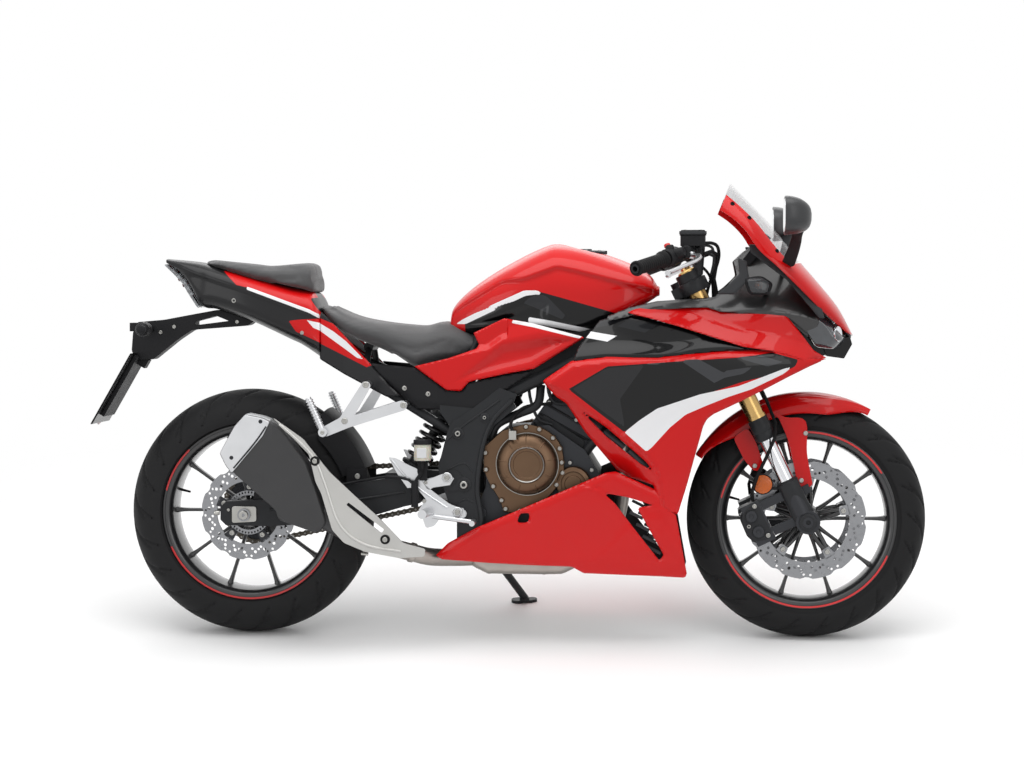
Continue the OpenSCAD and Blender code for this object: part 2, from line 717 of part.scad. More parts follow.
module chain() color("#2d2b28") {
  difference() {
    hull() {
      y_rod(sprocket_r + 7, rear_x, rear_z, chain_y0, chain_y1, $fn = 64);
      y_rod(front_sprocket_r + 7, front_sprocket[0] * kx, front_sprocket[1], chain_y0, chain_y1);
    }
    hull() {
      y_rod(sprocket_r - 5, rear_x, rear_z, sprocket_y - 20, sprocket_y + 20, $fn = 64);
      y_rod(front_sprocket_r - 7, front_sprocket[0] * kx, front_sprocket[1], sprocket_y - 20, sprocket_y + 20);
    }
  }
}

hugger_r = rear_tyre_r + 22;
module rear_hugger() color("#1b1b1d") difference() {
  union() {
    translate([rear_x, 0, rear_z]) rotate([90, 0, 0]) rotate([0, 0, 20])
      rotate_extrude(angle = 62) fender_section(hugger_r, 90, 60);
    both_sides() side_slab([[-450, 430], [-402, 424], [-396, 382], [-430, 380]], -arm_y1 + 2, -91);
  }
  // the arms and the chain pass below
  both_sides() side_slab(arm_line, -arm_y1 - 1, -arm_y0 + gap, gap);
  side_slab([[-600, 300], [-340, 300], [-340, 460], [-600, 460]], chain_y0 - 5, chain_y1 + 5);
}

shock_low = [-300, 0, 412];
shock_high = [-204, 0, 574];
module rear_shock() color("#3b3b3e") difference() {
  union() {
    rod([shock_low[0] * kx, 0, shock_low[2]], [shock_high[0] * kx, 0, shock_high[2]], 21);
    for (k = [0:5]) let (t = 0.2 + 0.12 * k)
      translate([lerp(shock_low[0], shock_high[0], t) * kx, 0, lerp(shock_low[2], shock_high[2], t)])
        rotate([0, 30, 0]) rotate_extrude() translate([24, 0]) circle(r = 5.5);
  }
  translate([-400 * kx, -100, 300]) cube([300 * kx, 200, 420 - 300 + gap]);
  cross_tubes(gap);
}

/* ---------- tank and seats ---------- */

// Station: x, half width, low edge, top edge
tank_rows = [
  [-192, 66, 776, 802], [-184, 84, 770, 836], [-146, 104, 764, 876], [-87, 128, 768, 918],
  [-19, 148, 772, 957], [43, 156, 770, 986], [80, 158, 766, 994], [142, 158, 762, 985], [219, 152, 790, 961],
  [271, 140, 824, 940], [312, 112, 850, 914], [330, 84, 862, 888]
];
cap_x = 150;
cap_r = 52;
cap_z = 978;
module fuel_tank() color("#c8161d") difference() {
  loft([for (r = tank_rows) ring(r[0], r[1] * tank_hw / 158, r[2], r[3], 2.4, 5)]);
  // seat for the filler cap
  translate([cap_x * kx, 0, cap_z - 10]) cylinder(r = cap_r + 6, h = 60);
}

module fuel_cap() color("#2a2a2c") translate([cap_x * kx, 0, cap_z - 10 + gap]) {
  cylinder(r = cap_r, h = 9);
  translate([-14, -7, 8.5]) cube([28, 14, 4]);
  translate([cap_r - 6, -14, 0]) cube([7, 28, 9]);
}

seat_rows = [
  [-514, 96, 826, 848], [-480, 118, 790, 831], [-427, 138, 758, 810], [-349, 150, 726, 797],
  [-278, 146, 700, 792], [-249, 138, 706, 791], [-218, 122, 716, 797], [-196, 104, 724, 797]
];
module rider_seat() color("#2a2a2b")
  loft([for (r = seat_rows) ring(r[0], r[1], r[2], r[3], 2.8, 3.4)]);

// Station: x, half width, top edge; the base follows the top of the tail
pillion_rows = [
  [-820, 62, 957], [-770, 86, 951], [-700, 98, 944], [-653, 106, 939], [-600, 110, 943], [-570, 112, 946],
  [-545, 110, 946], [-536, 102, 916]
];
module pillion_seat() color("#2a2a2b")
  loft([for (r = pillion_rows) ring(r[0], r[1], look(tail_tops, r[0]) + gap, r[2], 2.8, 6)]);

/* ---------- tail ---------- */

// Station: x, half width, low edge, top edge
tail_rows = [
  [-918, 56, 945, 957], [-870, 76, 905, 953], [-830, 88, 838, 948], [-790, 100, 828, 938],
  [-700, 116, 798, 912], [-600, 126, 752, 886], [-570, 129, 738, 880], [-536, 132, 716, 870],
  [-516, 134, 702, 826]
];
tail_tops = [for (r = tail_rows) [r[0], r[3]]];
module tail_cowl() color("#1d1d1f") difference() {
  loft([for (r = tail_rows) ring(r[0], r[1], r[2], r[3], 3.4, 3)]);
  // seats on the subframe
  both_sides() frame_tubes(gap);
  cross_tubes(gap);
}

module tail_light() color("#3a1012")
  side_slab([[-919, 944], [-870.5, 903], [-830.4, 838], [-840, 832], [-880, 896], [-926, 942]], -50, 50);

module plate_holder() color("#1c1c1e") {
  // arm
  difference() {
    union() {
      side_slab([[-790, 827.5], [-700, 797.5], [-712, 788], [-726, 786], [-858, 776], [-900, 750], [-986, 755],
        [-1012, 770], [-1000, 796], [-930, 802], [-800, 826]], -28, 28);
      side_slab([[-1016, 776], [-880, 765], [-960, 700], [-1010, 700], [-1024, 716]], -22, 22);
    }
    side_slab([[-850, 798], [-796, 812], [-764, 799], [-850, 788]], -60, 60);
  }
  // backing and blank plate, leaning back
  translate([-1046 * kx, 0, 640]) rotate([0, 30, 0]) {
    translate([4, -60, -100]) cube([10, 120, 190]);
    translate([8, -14, -60]) cube([30, 28, 136]);
    translate([-1, -92, -120]) cube([5 - gap, 184, 206]);
  }
}

/* ---------- side panels ---------- */

// Half width of the fairing skin over the side view
function plan_w(x) = x < 340 ? 1 - 0.00003 * pow(max(0, 60 - x) / 10, 2)
  : sqrt(max(0.02, 1 - pow((x - 340) / 505, 2.3)));
function tall_w(z) = z > 700 ? 1 - 0.34 * pow((z - 700) / 160, 1.5)
  : 1 - 0.38 * pow((700 - z) / 540, 1.6);
function fairing_w(x, z) = fairing_hw * plan_w(x) * tall_w(z);
function cover_w(x, z) = frame_hw + 5 - 30 * clamp01((-x - 215) / 240);

// Panel on the right side between two edge lines, sunk by depth_a and depth_b at its edges
module side_panel(a, b, rows, skin, depth_a = 0, depth_b = 0, t = panel_t) {
  q = [for (i = [0:len(a) - 1]) [for (j = [0:rows]) let (
      s = j / rows, p = lerp(a[i], b[i], s))
    [p[0], skin(p[0], p[1]) - lerp(depth_a, depth_b, s), p[1]]]];
  shell(
    [for (row = q) [for (p = row) [p[0] * kx, -p[1], p[2]]]],
    [for (row = q) [for (p = row) [p[0] * kx, -p[1] + t, p[2]]]]);
}

skin_f = function (x, z) fairing_w(x, z);
skin_c = function (x, z) cover_w(x, z);

module side_covers() color("#c8161d") both_sides() {
  side_panel(
    [[-272, 688], [-190, 706], [-118, 733], [-118, 770], [-50, 805], [50, 784], [148, 760]],
    [[-258, 676], [-193, 630], [-157, 628], [-137, 650], [-50, 667], [26, 683], [132, 748]],
    4, skin_c);
  // pegs on the frame
  difference() {
    union() {
      y_rod(6, 60 * kx, 712, -skin_c(60, 712) + 1, -spar_y + 6);
      y_rod(6, -146 * kx, 692, -skin_c(-146, 692) + 1, -98);
    }
    frame_tubes(gap);
    rod([-190 * kx, -108, 594], [-120 * kx, -96, 752], 9 + gap);
  }
}

module frame_covers() color("#1d1d1f") both_sides() {
  side_panel(
    [[-262, 674], [-197, 626], [-158, 624], [-134, 646], [-50, 663], [28, 679]],
    [[-266, 586], [-200, 584], [-150, 582], [-124, 584], [-60, 622], [22, 674]],
    4, skin_c);
  side_panel(
    [[-514, 822], [-463, 772], [-400, 742], [-340, 716], [-278, 690], [-263, 674]],
    [[-514, 704], [-454, 668], [-390, 634], [-346, 612], [-274, 592], [-267, 588]],
    4, skin_c);
  // pegs on the frame
  difference() {
    union() {
      y_rod(6, -40 * kx, 632, -skin_c(-40, 632) + 1, -spar_y + 2);
      y_rod(6, -240 * kx, 614, -skin_c(-240, 614) + 1, -100);
      y_rod(6, -460 * kx, 712, -skin_c(-460, 712) + 1, -90);
    }
    frame_tubes(gap);
  }
}

crease = [
  [348, 330], [341, 395], [327, 447], [305, 480], [206, 552], [113, 627], [208, 689], [330, 698], [400, 702],
  [500, 712], [611, 723], [690, 706]
];
front_edge = [
  [380, 324], [405, 400], [421, 460], [436, 515], [444, 545], [452, 560], [466, 572], [502, 588], [540, 607],
  [590, 632], [654, 666], [706, 690]
];
module side_fairings() color("#c8161d") both_sides() {
  // main panel
  side_panel(crease, front_edge, 5, skin_f);
  // rear edge turned inward
  side_panel(
    [[338, 332], [322, 396], [264, 412], [230, 432], [214, 452], [153, 527], [84, 612]],
    [[347, 330], [340, 395], [326, 447], [304.3, 479.3], [205.3, 551.3], [112.6, 626.2], [60, 655]],
    2, skin_f, 22, 1);
  // chamfer above the main panel
  side_panel(
    [[62, 656], [122, 702], [206, 712], [331, 710], [400, 718], [500, 729], [606, 729]],
    [[114, 631], [150, 658], [208, 693], [330, 702], [400, 706], [500, 716], [606, 726.5]],
    2, skin_f, 12, 0);
  // recessed middle
  side_panel(
    [[136, 734], [188, 800], [247, 817], [314, 804], [378, 786], [460, 760], [540, 735]],
    [[124, 703], [206, 712.6], [260, 711.6], [331, 710.6], [400, 718.6], [460, 725.2], [536, 729.6]],
    3, skin_f, 22, 12);
  // upper band
  side_panel(
    [[262, 824], [298, 840], [375, 843], [452, 843], [545, 829], [647, 815], [684, 770], [716, 729], [744, 712]],
    [[256, 820], [314, 808], [378, 790], [452, 766], [540, 738], [612, 727], [650, 718], [692, 708], [740, 708]],
    4, skin_f, 0, 0);
  // stays to the frame spar and to the radiator
  difference() {
    union() {
      y_rod(7, 276 * kx, 770, -skin_f(276, 770) + 21, -92);
      y_rod(7, 340 * kx, 560, -skin_f(340, 560) + 2, -150 - gap);
      y_rod(7, 300 * kx, 770, -skin_f(300, 770) + 21, -84);
    }
    frame_tubes(gap);
  }
}

module belly_panel() {
  side_panel(
    [[-222, 214], [-190, 244], [-116, 284], [0, 335], [205, 424], [230, 427], [318, 386], [330, 350], [334, 324],
      [378, 318]],
    [[-205, 206], [-170, 200], [-80, 194], [20, 190], [120, 186], [150, 170], [220, 168], [290, 166], [340, 164],
      [401, 161]],
    5, skin_f);
  // stay to the crankcase
  y_rod(7, 56 * kx, 289, -skin_f(56, 289) + 1, -case_hw - gap);
}

module belly_fairing() color("#c8161d") {
  belly_panel();
  // the left panel is cut short behind, for the side stand
  mirror([0, 1, 0]) difference() {
    belly_panel();
    translate([-400 * kx, -300, 100]) cube([345 * kx, 300, 300]);
  }
}

/* ---------- nose ---------- */

// Station: centre x, centre z, side x, side z, half width
nose_rows = [
  [515, 1148, 484, 1074, 150], [557, 1105, 516, 1052, 165], [599, 1061, 548, 1020, 178],
  [650, 1000, 578, 976, 186], [691, 945, 622, 936, 184], [729, 901, 668, 892, 172], [783, 834, 738, 824, 140],
  [821, 764, 796, 774, 78]
];
function nose_row(t) = let (i = min(floor(t), len(nose_rows) - 2)) lerp(nose_rows[i], nose_rows[i + 1], t - i);
// Point on the nose: t along the rows, a around from the middle, set inward by inset
function nose_point(t, a, inset = 0) = let (r = nose_row(t), k = 1 - cos(a)) [
  (lerp(r[0], r[2], k) - inset * 0.7 * cos(a)) * kx, -(r[4] - inset) * sin(a), lerp(r[1], r[3], k) - inset * 0.7 * cos(a)];
module nose_patch(ts, angles, inset = 0, t = panel_t) {
  shell([for (t = ts) [for (a = angles) nose_point(t, a, inset)]],
    [for (k = ts) [for (a = angles) nose_point(k, a, inset + t)]]);
}

screen_a = 58;
side_angles = [screen_a + 0.3, 68, 79, 90];
stay_post = [600, 0, 905];
module nose_cowl() color("#c8161d") difference() {
  union() {
    nose_patch([4:0.5:7],
      concat([for (a = [90, 79, 68, screen_a + 0.3]) -a], [for (k = [-4:4]) 11.5 * k], side_angles));
    both_sides() nose_patch([0:0.5:4], side_angles);
  }
}

module windscreen() color("#d9dde0")
  nose_patch(concat([for (k = [0:7]) k / 2], [3.98]), [for (k = [-8:8]) screen_a * k / 8], 2);

module stay_rods(g = 0) {
  // from the steering head to the nose
  rod(head_point(588) + [26, 0, 10], stay_post, 12 + g);
  rod(stay_post, [706 * kx, 0, 775], 11 + g);
  translate(stay_post) sphere(r = 13 + g);
  rod(stay_post, [588 * kx, 0, 975], 8 + g);
  // cross bars to the cowl, the lamps and the side trim
  a = nose_point(4.3, 84, panel_t + 2.8);
  rod(a, [a[0], -a[1], a[2]], 6 + g);
  rod(stay_post, [a[0], 0, a[2]], 6 + g);
  y_rod(8 + g, 700 * kx, 785, -102, 102);
  y_rod(7 + g, 600 * kx, 872, -trim_w(600, 872) + panel_t + 1.6 + g, trim_w(600, 872) - panel_t - 1.6 - g);
  rod(stay_post, [600 * kx, 0, 872], 7 + g);
}

// Bracket from the steering head that carries the nose, lamps, mirrors and panels
module fairing_stay() color("#19191b") difference() {
  stay_rods();
  fork_frame() cylinder(r = 30 + gap, h = 900);
}

module headlights() color("#3c4044") difference() {
  both_sides() hull() {
    side_slab([[712, 800], [742, 816], [784, 780], [792, 750], [776, 728], [732, 733], [706, 772]], -90, -20);
    side_slab([[712, 790], [732, 804], [752, 776], [740, 742], [708, 770]], -116, -60);
  }
  stay_rods(gap);
}

// Half width of the black panel below the nose
function trim_w(x, z) = 178 - 0.14 * (x - 474) - 0.12 * (z - 850);
skin_t = function (x, z) trim_w(x, z);
module cockpit_trim() color("#1a1a1c") {
  both_sides()
    side_panel(
      [[474, 860], [500, 884], [528, 915], [545, 946], [571, 964], [622, 930], [668, 886], [700, 840]],
      [[470, 851], [520, 849], [560, 851], [600, 838], [642, 822], [660, 805], [680, 780], [700, 756]],
      3, skin_t);
  // chin under the headlights
  side_slab([[742, 730], [752, 712], [796, 706], [816, 742], [808, 752], [793, 726], [776, 727]], -66, 66);
}

module instruments() color("#151517") difference() {
  translate([578 * kx, 0, 978]) rotate([0, 38, 0]) translate([-12, -78, -44]) cube([22, 156, 88]);
  stay_rods(gap);
}

mirror_foot = nose_point(4, 66, -15.6);

module mirrors() color("#1f1f22") both_sides() {
  // head
  hull() {
    translate([640 * kx, -mirror_y + 70, 1046]) rotate([0, 90, -12]) cylinder(r = 42, h = 12, $fn = 28);
    translate([644 * kx, -mirror_y + 43, 1052]) rotate([0, 90, -12]) cylinder(r = 42, h = 12, $fn = 28);
    translate([676 * kx, -mirror_y + 85, 1046]) sphere(r = 24, $fn = 20);
    translate([676 * kx, -mirror_y + 47, 1054]) sphere(r = 22, $fn = 20);
  }
  // stem down to the nose
  hull() {
    translate([668 * kx, -mirror_y + 90, 1030]) sphere(r = 12, $fn = 20);
    translate(mirror_foot) sphere(r = 14, $fn = 20);
  }
}

skin_s = function (x, z) trim_w(x, z) + 5 + gap;
module turn_signals() color("#30302f") {
  both_sides() {
    side_panel([[545, 905], [587, 909], [611, 891]], [[559, 867], [585, 867], [601, 867]], 2, skin_s, t = 5);
    // rear lamps on the plate arm
    rod([-965 * kx, -28 - gap, 778], [-965 * kx, -84, 778], 8);
    rod([-966 * kx, -84, 778], [-966 * kx, -122, 778], 18);
    translate([-966 * kx, -122, 778]) sphere(r = 18);
  }
}

/* ---------- rider's contact points ---------- */

hanger_y = frame_hw + 6 + gap;
module rider_footpegs() color("#a9abad") both_sides() {
  // hanger plate with its heel guard
  side_slab([[-336, 460], [-321, 458], [-264, 430], [-256, 404], [-184, 420], [-174, 408], [-184, 392],
    [-236, 384], [-190, 342], [-150, 334], [-144, 316], [-160, 304], [-207, 306], [-240, 300], [-262, 330],
    [-244, 356], [-268, 386], [-290, 384], [-315, 418]], -hanger_y - 8, -hanger_y);
  y_rod(11, -154 * kx, 320, -hanger_y - 1, -frame_hw - gap);
  // peg
  rod([-234 * kx, -hanger_y - 4, 326], [-240 * kx, -peg_y, 330], 11);
  // toe lever ahead of the peg
  rod([-226 * kx, -hanger_y - 12, 314], [-124 * kx, -hanger_y - 26, 302], 6);
  y_rod(7, -124 * kx, 302, -hanger_y - 72, -hanger_y - 18);
}

// Rear caliper on the right arm, fluid pot and master cylinder on the footpeg hanger, and their hoses
module rear_brake() color("#1b1b1d") {
  difference() {
    union() {
      along_y(rear_x, rear_z, -110, -58) polygon([[14, -66], [24, -116], [88, -110], [102, -62]]);
      along_y(rear_x, rear_z, -arm_y1 + 4, -104) polygon([[20, -27], [30, -88], [90, -82], [96, -27]]);
    }
    side_slab(arm_line, -arm_y1 - 5, -arm_y0 + 5, gap);
    // the disc runs through the caliper
    y_rod(rear_disc_r + 6, rear_x, rear_z, -rear_boss_y - gap - 10, -rear_boss_y - gap + 5);
    // the wheel's disc bosses turn inside it
    y_rod(rear_boss_r + 17, rear_x, rear_z, -rear_boss_y - 12, -50);
  }
  // fluid pot and its bracket on the hanger
  translate([pot[0] * kx, -pot_y, pot[1]]) cylinder(r = 20, h = 52);
  side_slab([[-264, 426], [-262, 460], [-238, 460], [-240, 404], [-258, 404]], -hanger_y - 24, -hanger_y - 8 - gap);
  // master cylinder
  translate([master[0] * kx, -pot_y + 4, master[1]]) cylinder(r = 9, h = 66);
  hose([for (p = rear_hose_top) [p[0] * kx, p[1], p[2]]], 4.5);
  hose([for (p = rear_hose_low) [p[0] * kx, p[1], p[2]]], 3.5);
}
pot = [-250, 453];
pot_y = hanger_y + 30;
master = [-270, 338];
rear_hose_top = [[-250, -pot_y, 458], [-250, -pot_y, 440], [-254, -pot_y, 422], [-264, -pot_y + 2, 408],
  [-270, -pot_y + 4, 396]];
rear_hose_low = [[-274, -pot_y + 6, 396], [-286, -pot_y + 9, 406], [-312, -pot_y + 11, 412],
  [-340, -pot_y + 14, 412], [-368, -156, 408], [-420, -144.5, 398], [-500, -144, 382], [-580, -144, 372], [-616, -141, 376], [-630, -132, 382], [-640, -118, 388]];

module pillion_footpegs() color("#b5b6b8") both_sides() difference() {
  union() {
    rod([-392 * kx, -103, 642], [-444 * kx, -pillion_y + 2, 560], 8);
    rod([-300 * kx, -113, 590], [-444 * kx, -pillion_y + 1, 552], 9);
    rod([-436 * kx, -pillion_y, 552], [-500 * kx, -pillion_y, 522], 12);
    translate([-444 * kx, -pillion_y, 550]) sphere(r = 13);
    // folded peg
    translate([-494 * kx, -pillion_y - 8, 524]) rotate([25, 35, 0]) sphere(r = 14);
    rod([-496 * kx, -pillion_y - 9, 524], [-532 * kx, -pillion_y - 9, 610], 9);
  }
  frame_tubes(gap);
}

/* ---------- side stand ---------- */

foot_floor_x = -22;
// The foot's place on the leaning floor
foot_point = [foot_floor_x * kx, stand_foot_y * cos(lean), stand_foot_y * sin(lean)];
module side_stand() color("#202022") {
  on_stand_axis() cylinder(r = 16, h = 22);
  rod(stand_pivot + 11 * stand_axis, foot_point + [-2, -4, 12], 10);
  translate(foot_point) rotate([lean, 0, 0]) {
    translate([-20, 0, 0]) cylinder(r = 18, h = 8);
    translate([16, 8, 0]) cylinder(r = 14, h = 8);
    translate([-22, -10, 0]) cube([40, 24, 8]);
    translate([-3, -4, 4]) cylinder(r = 13, h = 10);
  }
}

/* ---------- assembly ---------- */

leaned() front_tyre();
leaned() front_rim();
leaned() front_discs();
leaned() rear_tyre();
leaned() rear_rim();
leaned() rear_disc();
leaned() rear_sprocket();
leaned() fork_tubes();
leaned() fork_stanchions();
leaned() fork_feet();
leaned() front_axle();
leaned() triple_clamps();
leaned() handlebars();
leaned() grips();
leaned() bar_controls();
leaned() front_fender();
leaned() front_calipers();
leaned() front_brake_hoses();
leaned() side_stand();
leaned() fuel_cap();
leaned() frame();
leaned() engine();
leaned() engine_covers();
leaned() radiator();
leaned() exhaust_pipe();
leaned() muffler();
leaned() muffler_guard();
leaned() swingarm();
leaned() rear_axle();
leaned() chain();
leaned() rear_hugger();
leaned() rear_shock();
leaned() fuel_tank();
leaned() rider_seat();
leaned() pillion_seat();
leaned() tail_cowl();
leaned() tail_light();
leaned() plate_holder();
leaned() turn_signals();
leaned() side_covers();
leaned() frame_covers();
leaned() side_fairings();
leaned() belly_fairing();
leaned() nose_cowl();
leaned() windscreen();
leaned() headlights();
leaned() mirrors();
leaned() cockpit_trim();
leaned() instruments();
leaned() fairing_stay();
leaned() rider_footpegs();
leaned() rear_brake();
leaned() pillion_footpegs();
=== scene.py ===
import json
import math

import bmesh
import bpy
import numpy as np
from mathutils import Matrix, Vector
from mathutils.geometry import tessellate_polygon


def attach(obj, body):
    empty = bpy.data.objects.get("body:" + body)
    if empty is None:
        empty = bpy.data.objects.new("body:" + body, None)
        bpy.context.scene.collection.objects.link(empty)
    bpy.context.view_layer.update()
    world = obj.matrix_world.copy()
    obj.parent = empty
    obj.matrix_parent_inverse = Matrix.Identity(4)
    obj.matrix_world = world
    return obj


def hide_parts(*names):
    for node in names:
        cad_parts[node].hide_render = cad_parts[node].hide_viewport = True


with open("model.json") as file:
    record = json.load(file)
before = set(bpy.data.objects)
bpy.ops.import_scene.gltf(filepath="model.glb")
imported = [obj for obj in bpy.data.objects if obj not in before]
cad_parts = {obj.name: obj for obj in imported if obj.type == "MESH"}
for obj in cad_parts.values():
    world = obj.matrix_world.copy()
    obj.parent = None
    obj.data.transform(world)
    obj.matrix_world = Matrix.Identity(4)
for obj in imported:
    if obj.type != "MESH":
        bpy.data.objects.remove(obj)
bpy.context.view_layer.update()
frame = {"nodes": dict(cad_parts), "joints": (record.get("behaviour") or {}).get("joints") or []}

# ---------- the bike's own frame ----------
# Shapes are written in millimetres on the upright bike: X forward, Y to the rider's left, Z up, and 0
# on the floor midway between the wheels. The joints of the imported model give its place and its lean.

MM = 0.001
joints = {j["name"]: j for j in frame["joints"]}
side = Vector(joints["rear_wheel_spin"]["axis"]).normalized()
ahead = Vector((1, 0, 0))
up = ahead.cross(side)


def hub(joint):
    return Vector(joints[joint]["pos_m"])


def foot(joint):
    return hub(joint) - up * (hub(joint).z / up.z)


origin = (foot("front_wheel_spin") + foot("rear_wheel_spin")) / 2
AXES = np.array([ahead, side, up])


def to_row(points):
    """Upright millimetres to the row frame's metres."""
    return np.asarray(points, float) * MM @ AXES + np.array(origin)


def to_bike(points):
    return (np.asarray(points, float) - np.array(origin)) @ AXES.T / MM


FX, _, FZ = to_bike(hub("front_wheel_spin"))
RX, _, RZ = to_bike(hub("rear_wheel_spin"))
steer = AXES @ np.array(joints["steering_turn"]["axis"])
FORK_UP = steer / np.linalg.norm(steer)
FORK_OUT = np.array([FORK_UP[2], 0, -FORK_UP[0]])
FORK_OFFSET = 37


def fork(points):
    """Points along the fork (X ahead of the steering axis, Z up it from the axle's level) to upright ones."""
    p = np.asarray(points, float).reshape(-1, 3)
    base = np.array([FX, 0, FZ]) - FORK_OFFSET * FORK_OUT
    return base + p[:, :1] * FORK_OUT + p[:, 1:2] * np.array([0, 1, 0]) + p[:, 2:] * FORK_UP


# ---------- outlines ----------

def unit(v):
    v = np.asarray(v, float)
    return v / np.linalg.norm(v)


def angles(n):
    """n angles round a section, starting half a step in."""
    return (np.arange(n) + 0.5) * math.tau / n


def blunt(v, power):
    """A cosine or sine pushed outwards by a power under 1, which squares a circle off."""
    return math.copysign(abs(v) ** power, v)


def circle(x, z, r, n=24):
    return [(x + r * math.cos(math.tau * k / n), z + r * math.sin(math.tau * k / n)) for k in range(n)]


def rounded(points, r, n=4):
    """A closed outline with its corners rounded by about r."""
    out = []
    for k, p in enumerate(points):
        p, a, c = (np.array(q, float) for q in (p, points[k - 1], points[(k + 1) % len(points)]))
        s = p + (a - p) * min(0.45, r / np.linalg.norm(a - p))
        e = p + (c - p) * min(0.45, r / np.linalg.norm(c - p))
        out += [tuple(s * (1 - t) ** 2 + 2 * p * t * (1 - t) + e * t * t) for t in np.linspace(0, 1, n)]
    return out


def curve(points, n=8):
    """A smooth open line through the points, with n steps between neighbours."""
    p = np.asarray(points, float)
    p = np.vstack([2 * p[0] - p[1], p, 2 * p[-1] - p[-2]])
    out = []
    for i in range(1, len(p) - 2):
        for t in np.linspace(0, 1, n, endpoint=False):
            out.append(0.5 * (2 * p[i] + (p[i + 1] - p[i - 1]) * t
                              + (2 * p[i - 1] - 5 * p[i] + 4 * p[i + 1] - p[i + 2]) * t ** 2
                              + (3 * p[i] - p[i - 1] - 3 * p[i + 1] + p[i + 2]) * t ** 3))
    return np.array(out + [p[-2]])


def inside(outline, x, z):
    """Signed distance in millimetres to a closed outline, positive inside."""
    d = np.full(np.shape(x), 1e9)
    odd = np.zeros(np.shape(x), bool)
    for k in range(len(outline)):
        (ax, az), (bx, bz) = outline[k - 1], outline[k]
        ex, ez = bx - ax, bz - az
        t = np.clip(((x - ax) * ex + (z - az) * ez) / max(ex * ex + ez * ez, 1e-9), 0, 1)
        d = np.minimum(d, np.hypot(x - ax - t * ex, z - az - t * ez))
        if az != bz:
            odd ^= ((az > z) != (bz > z)) & (x < ex * (z - az) / ez + ax)
    return np.where(odd, d, -d)


def beyond(line, x, z):
    """Signed distance to an open line, positive on the left of the way it runs."""
    best = np.full(np.shape(x), 1e9)
    sign = np.ones(np.shape(x))
    for (ax, az), (bx, bz) in zip(line, line[1:]):
        ex, ez = bx - ax, bz - az
        t = np.clip(((x - ax) * ex + (z - az) * ez) / (ex * ex + ez * ez), 0, 1)
        d = np.hypot(x - ax - t * ex, z - az - t * ez)
        nearer = d < best - 1e-6
        sign = np.where(nearer, np.where(ex * (z - az) - ez * (x - ax) >= 0, 1, -1), sign)
        best = np.minimum(best, d)
    return best * sign


# ---------- shapes ----------

